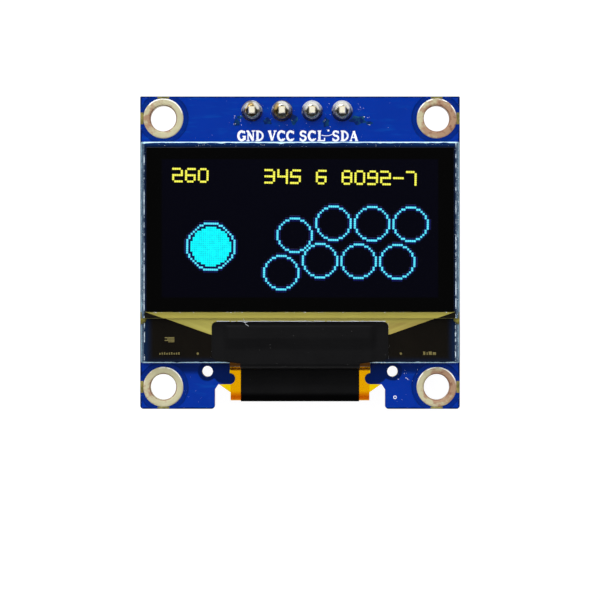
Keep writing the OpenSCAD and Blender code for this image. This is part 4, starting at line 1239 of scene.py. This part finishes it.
# fired ceramic: a dense, faintly mottled body, dull buff as it is and glossy black under its glaze
bare_ceramic = mottled(
    "fired_barium_titanate", ("8a6142", "b08a66"), (6.0, 5.0), rough=0.45, relief=(0.3, 0.02), IOR=1.6,
)
black_glaze = mottled(
    "black_overglaze_on_alumina", ("131318", "26262c"), (4.0, 5.0), rough=0.2, relief=(0.3, 0.02), IOR=1.6,
)
chip_part, chip_end = np.array([1.6, 0.8]), 0.28
column_x = (-9.4, -7.5, -5.6, -3.7)
kinds = (
    ("capacitor", [(x, 6.9, 90) for x in column_x] + [(0.2, 7.2, 90), (8.6, 8.1, 0), (8.6, 6.4, 0)],
     bare_ceramic, "capacitor_ceramic"),
    ("resistor", [(x, 2.9, 90) for x in (*column_x, -1.8)] + [(9.4, 2.9, 0)],
     black_glaze, "resistor_glaze"),
)
for kind, places, material, finish in kinds:
    low, high = size_of(kind + "_bodies")
    bodies, ends = [], []
    for x, y, angle in places:
        half = chip_part[::-1] / 2 if angle else chip_part / 2
        axis = np.array([0, 1] if angle else [1, 0])
        middle = np.array([x, y])
        core = half - axis * (chip_end - 0.04) - (1 - axis) * 0.025
        bodies.append(box_shape((*(middle - core), low[2] + 0.02), (*(middle + core), high[2] - 0.02), 0.05))
        for side in (-1, 1):
            end = middle + side * axis * (chip_part[0] - chip_end) / 2
            reach = half * (1 - axis) + axis * chip_end / 2
            ends.append(box_shape((*(end - reach), low[2]), (*(end + reach), high[2]), 0.06))
    piece = new_piece(kind + "_ceramics", joined(bodies), material)
    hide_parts(kind + "_bodies")
    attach(piece, "root")
    piece = new_piece(kind + "_end_caps", joined(ends), matt_tin)
    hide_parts(kind + "_ends")
    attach(piece, "root")

for node, material, finish in (
    ("regulator_body", black_nylon, "black_plastic"), ("diode_body", black_nylon, "black_plastic"),
    ("regulator_leads", matt_tin, "tinned_lead"), ("diode_leads", matt_tin, "tinned_lead"),
    ("small_part_lands", tin_plate, "tinned_copper"), ("small_part_solder", satin_solder, "solder"),
):
    coated(node, material)


# ---- Print on the back ----
# White outlines round the small parts, a corner mark for pin one of the header
# and a cathode bar beside the diode, screened in the same ink. No words.

ink_back = (board_low[2] - 0.018, board_low[2] - 0.002)


def outline(x0, y0, x1, y1, width=0.13):
    """Four bars round a rectangle, the upright ones between the level ones."""
    return [
        ribbon([(x0, y0), (x1, y0)], width, *ink_back), ribbon([(x0, y1), (x1, y1)], width, *ink_back),
        ribbon([(x0, y0 + width * 0.6), (x0, y1 - width * 0.6)], width, *ink_back),
        ribbon([(x1, y0 + width * 0.6), (x1, y1 - width * 0.6)], width, *ink_back),
    ]


outline_half = np.array([1.2, 0.75])
shapes = []
for x, y, angle in [place for kind in kinds for place in kind[1]]:
    half = outline_half[::-1] if angle else outline_half
    shapes += outline(x - half[0], y - half[1], x + half[0], y + half[1])
shapes += outline(pin_x[0] - 1.3, pin_y - 1.35, pin_x[-1] + 1.3, board_high[1] - 0.12)
pin_one_x = pin_x[0] + 1.25
shapes.append(ribbon([(pin_one_x, pin_y - 1.2), (pin_one_x, board_high[1] - 0.3)], 0.16, *ink_back))
cathode_x, cathode_y = 1.62, (2.1, 3.7)
shapes.append(ribbon([(cathode_x, y) for y in cathode_y], 0.18, *ink_back))
back_print = new_piece("back_outlines", joined(shapes), white_ink)
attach(back_print, "root")


# ---- Tape edge and fibres ----
# A thin broken white line runs along the top edge of the tape. A lint fibre is caught on it, and fine chips
# of glass lie about.

# the white edge line, lint and glass chips: bright, matt, some a little blue
pale_debris = mottled("white_line_lint_and_glass_dust", ("c4d4e4", "ffffff"), (3.0, 2.0), rough=0.4)


def shards(fields, seed):
    """Tiny five-sided flat chips, scattered at random over rectangles (x0, y0, x1, y1, count, z,
    largest size)."""
    chance = np.random.default_rng(seed)
    shapes = []
    for x0, y0, x1, y1, count, z, largest in fields:
        for _ in range(count):
            size = chance.uniform(0.3, 1.0, 2) * largest / 2
            turn = np.sort(chance.uniform(0, 2 * math.pi, 5)) + np.arange(5) * 0.2
            around = np.stack([np.cos(turn), np.sin(turn)], axis=-1) * size * chance.uniform(0.6, 1, (5, 1))
            spin = chance.uniform(0, math.pi)
            cos, sin = math.cos(spin), math.sin(spin)
            flat = around @ np.array([[cos, sin], [-sin, cos]]) + chance.uniform((x0, y0), (x1, y1))
            # in order round their middle, so that the outline never crosses itself
            flat = flat[np.argsort(np.arctan2(*(flat - flat.mean(axis=0)).T[::-1]))]
            levels = [np.column_stack([flat, np.full(5, level)]) for level in (z, z + 0.015)]
            shapes.append(skin(np.stack(levels), round_columns=True, caps=True))
    return shapes


tape_line_z = ledge_z + 0.03
chance = np.random.default_rng(11)
shapes = []
x = -tape_half + 0.42
while x < tape_half - 0.3:
    reach = min(chance.uniform(0.25, 1.1), tape_half - 0.25 - x)
    along = np.linspace(x, x + reach, 4)
    wave = tape_top_y + 0.02 + chance.uniform(-0.012, 0.012, 4)
    shapes.append(ribbon(np.stack([along, wave], axis=-1), chance.uniform(0.05, 0.1), ledge_z, tape_line_z))
    x += reach + chance.choice([0.0, 0.02, 0.12], p=[0.5, 0.3, 0.2])
hair = [(-4.83, -5.3), (-4.78, -5.55), (-4.66, -5.78), (-4.6, -5.98), (-4.45, -6.12), (-4.32, -6.2)]
hair_z = (ledge_z + chip_t + tape_t, ledge_z + chip_t + tape_t + 0.03)
shapes.append(ribbon(hair, 0.022, *hair_z))
shapes.append(ribbon([(-4.75, -5.86), (-4.6, -5.9), (-4.42, -5.84)], 0.02, hair_z[0], hair_z[1] - 0.004))
shapes += shards([
    (-7.5, -6.1, -7.38, -5.8, 5, ledge_z, 0.07), (7.38, -6.6, 7.5, -5.9, 9, ledge_z, 0.08),
    (-7.5, -8.9, -7.42, -8.3, 3, ledge_z, 0.06), (7.42, -9.0, 7.5, -7.6, 6, ledge_z, 0.06),
    (-12.6, film_low[1] - 0.05, 12.6, film_low[1] + 0.02, 46, film_high[2] - 0.035, 0.11),
    (-12.9, front_high[1] - 0.4, 12.9, front_high[1] - 0.12, 60, front_high[2] - 0.005, 0.065),
    (5.8, rear_low[1] + 0.02, 7.2, rear_low[1] + 0.1, 16, ledge_z - 0.005, 0.14),
    (-6.6, rear_low[1] + 0.02, -5.9, rear_low[1] + 0.1, 6, ledge_z - 0.005, 0.1),
    (-13.34, -9.0, -13.05, 9.0, 34, ledge_z - 0.005, 0.07),
    (13.02, -9.0, 13.34, -5.7, 26, ledge_z - 0.005, 0.08),
    (13.02, -5.3, 13.34, 9.0, 60, front_high[2] - 0.005, 0.09),
    (-13.34, -5.3, -13.05, 9.0, 40, front_high[2] - 0.005, 0.07),
], 5)
debris = new_piece("tape_edge_and_chips", joined(shapes), pale_debris)
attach(debris, "root")


# ---- Flux residue and handling marks ----
# Flux boiled out of the header joints and dried as glossy teal and amber blots.
# Specks of solder dust and scratches lie on the mask, near a tented via.

# rosin flux over blue mask: a glossy dark teal skin, greener where it is thick
dried_flux = mottled(
    "dried_rosin_flux", ("02205c", "175a70"), (1.6, 5.0, 0.7), (0.48, 0.7), rough=0.12,
    relief=(0.6, 0.05), IOR=1.54,
)


def blot(x, y, width, height, seed):
    """A low round-edged puddle: an ellipse whose radius wanders, with its rim drawn down."""
    chance = np.random.default_rng(seed)
    angle = np.linspace(0, 2 * math.pi, 28, endpoint=False)
    wander = 1 + sum(chance.uniform(-0.2, 0.2) * np.sin(k * angle + chance.uniform(0, 6)) for k in (2, 3, 5))
    z = board_high[2]
    levels = [(1.0, z - 0.01), (1.0, z + 0.002), (0.85, z + 0.008), (0.3, z + 0.011)]
    flat = np.stack([np.cos(angle) * width / 2, np.sin(angle) * height / 2], axis=-1) * wander[:, None]
    points = [np.column_stack([flat * share + (x, y), np.full(28, level)]) for share, level in levels]
    return skin(np.stack(points), round_columns=True, caps=True)


blots = [
    (-5.35, 10.98, 0.5, 0.6, 1), (-5.1, 11.45, 0.5, 0.25, 2), (-2.75, 11.1, 0.8, 0.5, 3),
    (-0.55, 11.3, 0.7, 0.9, 4), (2.2, 11.0, 0.6, 0.7, 5), (4.9, 11.2, 1.3, 0.75, 6),
    (5.85, 10.95, 0.6, 0.3, 7),
]
shapes = [blot(*each) for each in blots]
flux = new_piece("flux_blots", joined(shapes), dried_flux, crease=60)
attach(flux, "root")

top_z = board_high[2] - 0.003
shapes = shards([
    (-5.6, 10.7, -4.9, 11.6, 9, top_z + 0.01, 0.13), (-3.0, 10.6, -0.4, 12.7, 16, top_z, 0.08),
    (5.2, 11.4, 5.9, 11.5, 5, top_z, 0.16), (5.7, 10.75, 6.0, 10.9, 4, top_z, 0.12),
    (2.0, 10.3, 2.6, 12.9, 9, top_z, 0.09), (4.4, 11.8, 5.4, 12.8, 8, top_z, 0.08),
    (-9.5, 9.6, 9.5, 13.0, 40, top_z, 0.05), (7.5, -10.9, 10.0, -9.6, 14, top_z, 0.08),
    (-9.8, -13.0, -8.0, -10.0, 8, top_z, 0.05), (8.0, -13.0, 9.4, -10.6, 8, top_z, 0.05),
], 9)
shapes.append(ribbon([(8.9, -10.55), (9.03, -10.62), (9.15, -10.74)], 0.035, top_z, top_z + 0.012))
shapes.append(ribbon([(8.25, -10.68), (8.36, -10.7)], 0.03, top_z, top_z + 0.012))
shapes.append(ribbon([(1.8, 9.93), (2.15, 9.87), (2.5, 9.9), (2.75, 10.02)], 0.06, top_z, top_z + 0.014))
shapes.append(moved(turned([[0.09, top_z], [0.07, top_z + 0.02]], steps=16), (2.4, 10.32, 0)))
shapes.append(ribbon(arc((8.03, -12.22), (0.12, 0.12), 0, 350), 0.06, top_z, top_z + 0.012))
specks = new_piece("specks_and_scratches", joined(shapes), pale_debris)
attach(specks, "root")


# ---- Studio ----
# The module stands on its pins on a lit white table. A broad soft lamp and a
# bright wall are beyond the header edge, the near side of the room and its
# ceiling are dark, and the horizon is white all round.

# an opal acrylic sheet lit from below: almost no shadow, a very soft cloudiness
white_table = mottled(
    "opal_acrylic_sheet", ("6a6a6a", "6e6e6e"), (0.02, 2.0), rough=0.9, Specular_IOR_Level=0.1,
    Emission_Color="ffffff", Emission_Strength=0.93,
)
table_half = 900
u, v = np.meshgrid(*[np.linspace(-table_half, table_half, 3)] * 2)
floor = new_piece("floor", skin(np.stack([u, v, 0 * u + cad_low[2] / mm], axis=-1)), white_table)

world = bpy.data.worlds.new("studio_walls")
world.use_nodes = True
world.node_tree.nodes.clear()
add = adder(world.node_tree)
direction = add("TexCoord", out="Generated")
away, rise = add("SeparateXYZ", direction, out=("Y", "Z"))
horizon = add("MapRange", rise, 0.06, 0.1, 1.0, 0.0, interpolation_type="SMOOTHSTEP")
far_wall = add("MapRange", away, 0.05, 0.4, interpolation_type="SMOOTHSTEP")
below = add("MapRange", rise, 0.6, 0.85, 1.1, 0.0, interpolation_type="SMOOTHSTEP")
wall = add("Math MULTIPLY", far_wall, below)
wall = add("Math MAXIMUM", wall, horizon)
wall = add("Math MAXIMUM", wall, 0.04)
sky = add("Background", Color="ffffff", Strength=wall)
add("OutputWorld", sky)
bpy.context.scene.world = world

# the overhead light tent is so diffuse that it gives no highlight; the softbox behind gives one
for name, energy, angle, toward, highlight in (
    ("light_tent", 2.5, 60, (-0.1, 0.2, 0.97), False), ("softbox", 0.8, 30, (-0.3, 0.9, 0.6), True),
):
    lamp = bpy.data.lights.new(name, "SUN")
    lamp.energy, lamp.angle = energy, math.radians(angle)
    source = bpy.data.objects.new(name, lamp)
    source.rotation_euler = Vector(toward).to_track_quat("Z", "Y").to_euler()
    source.visible_glossy = highlight
    bpy.context.scene.collection.objects.link(source)

camera_y, camera_h, frame_w = -4.0, 250.0, 50.7  # the camera's place, and the width in view at the board
lens = bpy.data.cameras.new("camera")
lens.lens = lens.sensor_width * (camera_h - board_high[2]) / frame_w
lens.clip_start, lens.clip_end = 0.01, 4
camera = bpy.data.objects.new("camera", lens)
camera.location = (0, camera_y * mm, camera_h * mm)
bpy.context.scene.collection.objects.link(camera)
bpy.context.scene.camera = camera
bpy.context.scene.view_settings.view_transform = "Standard"
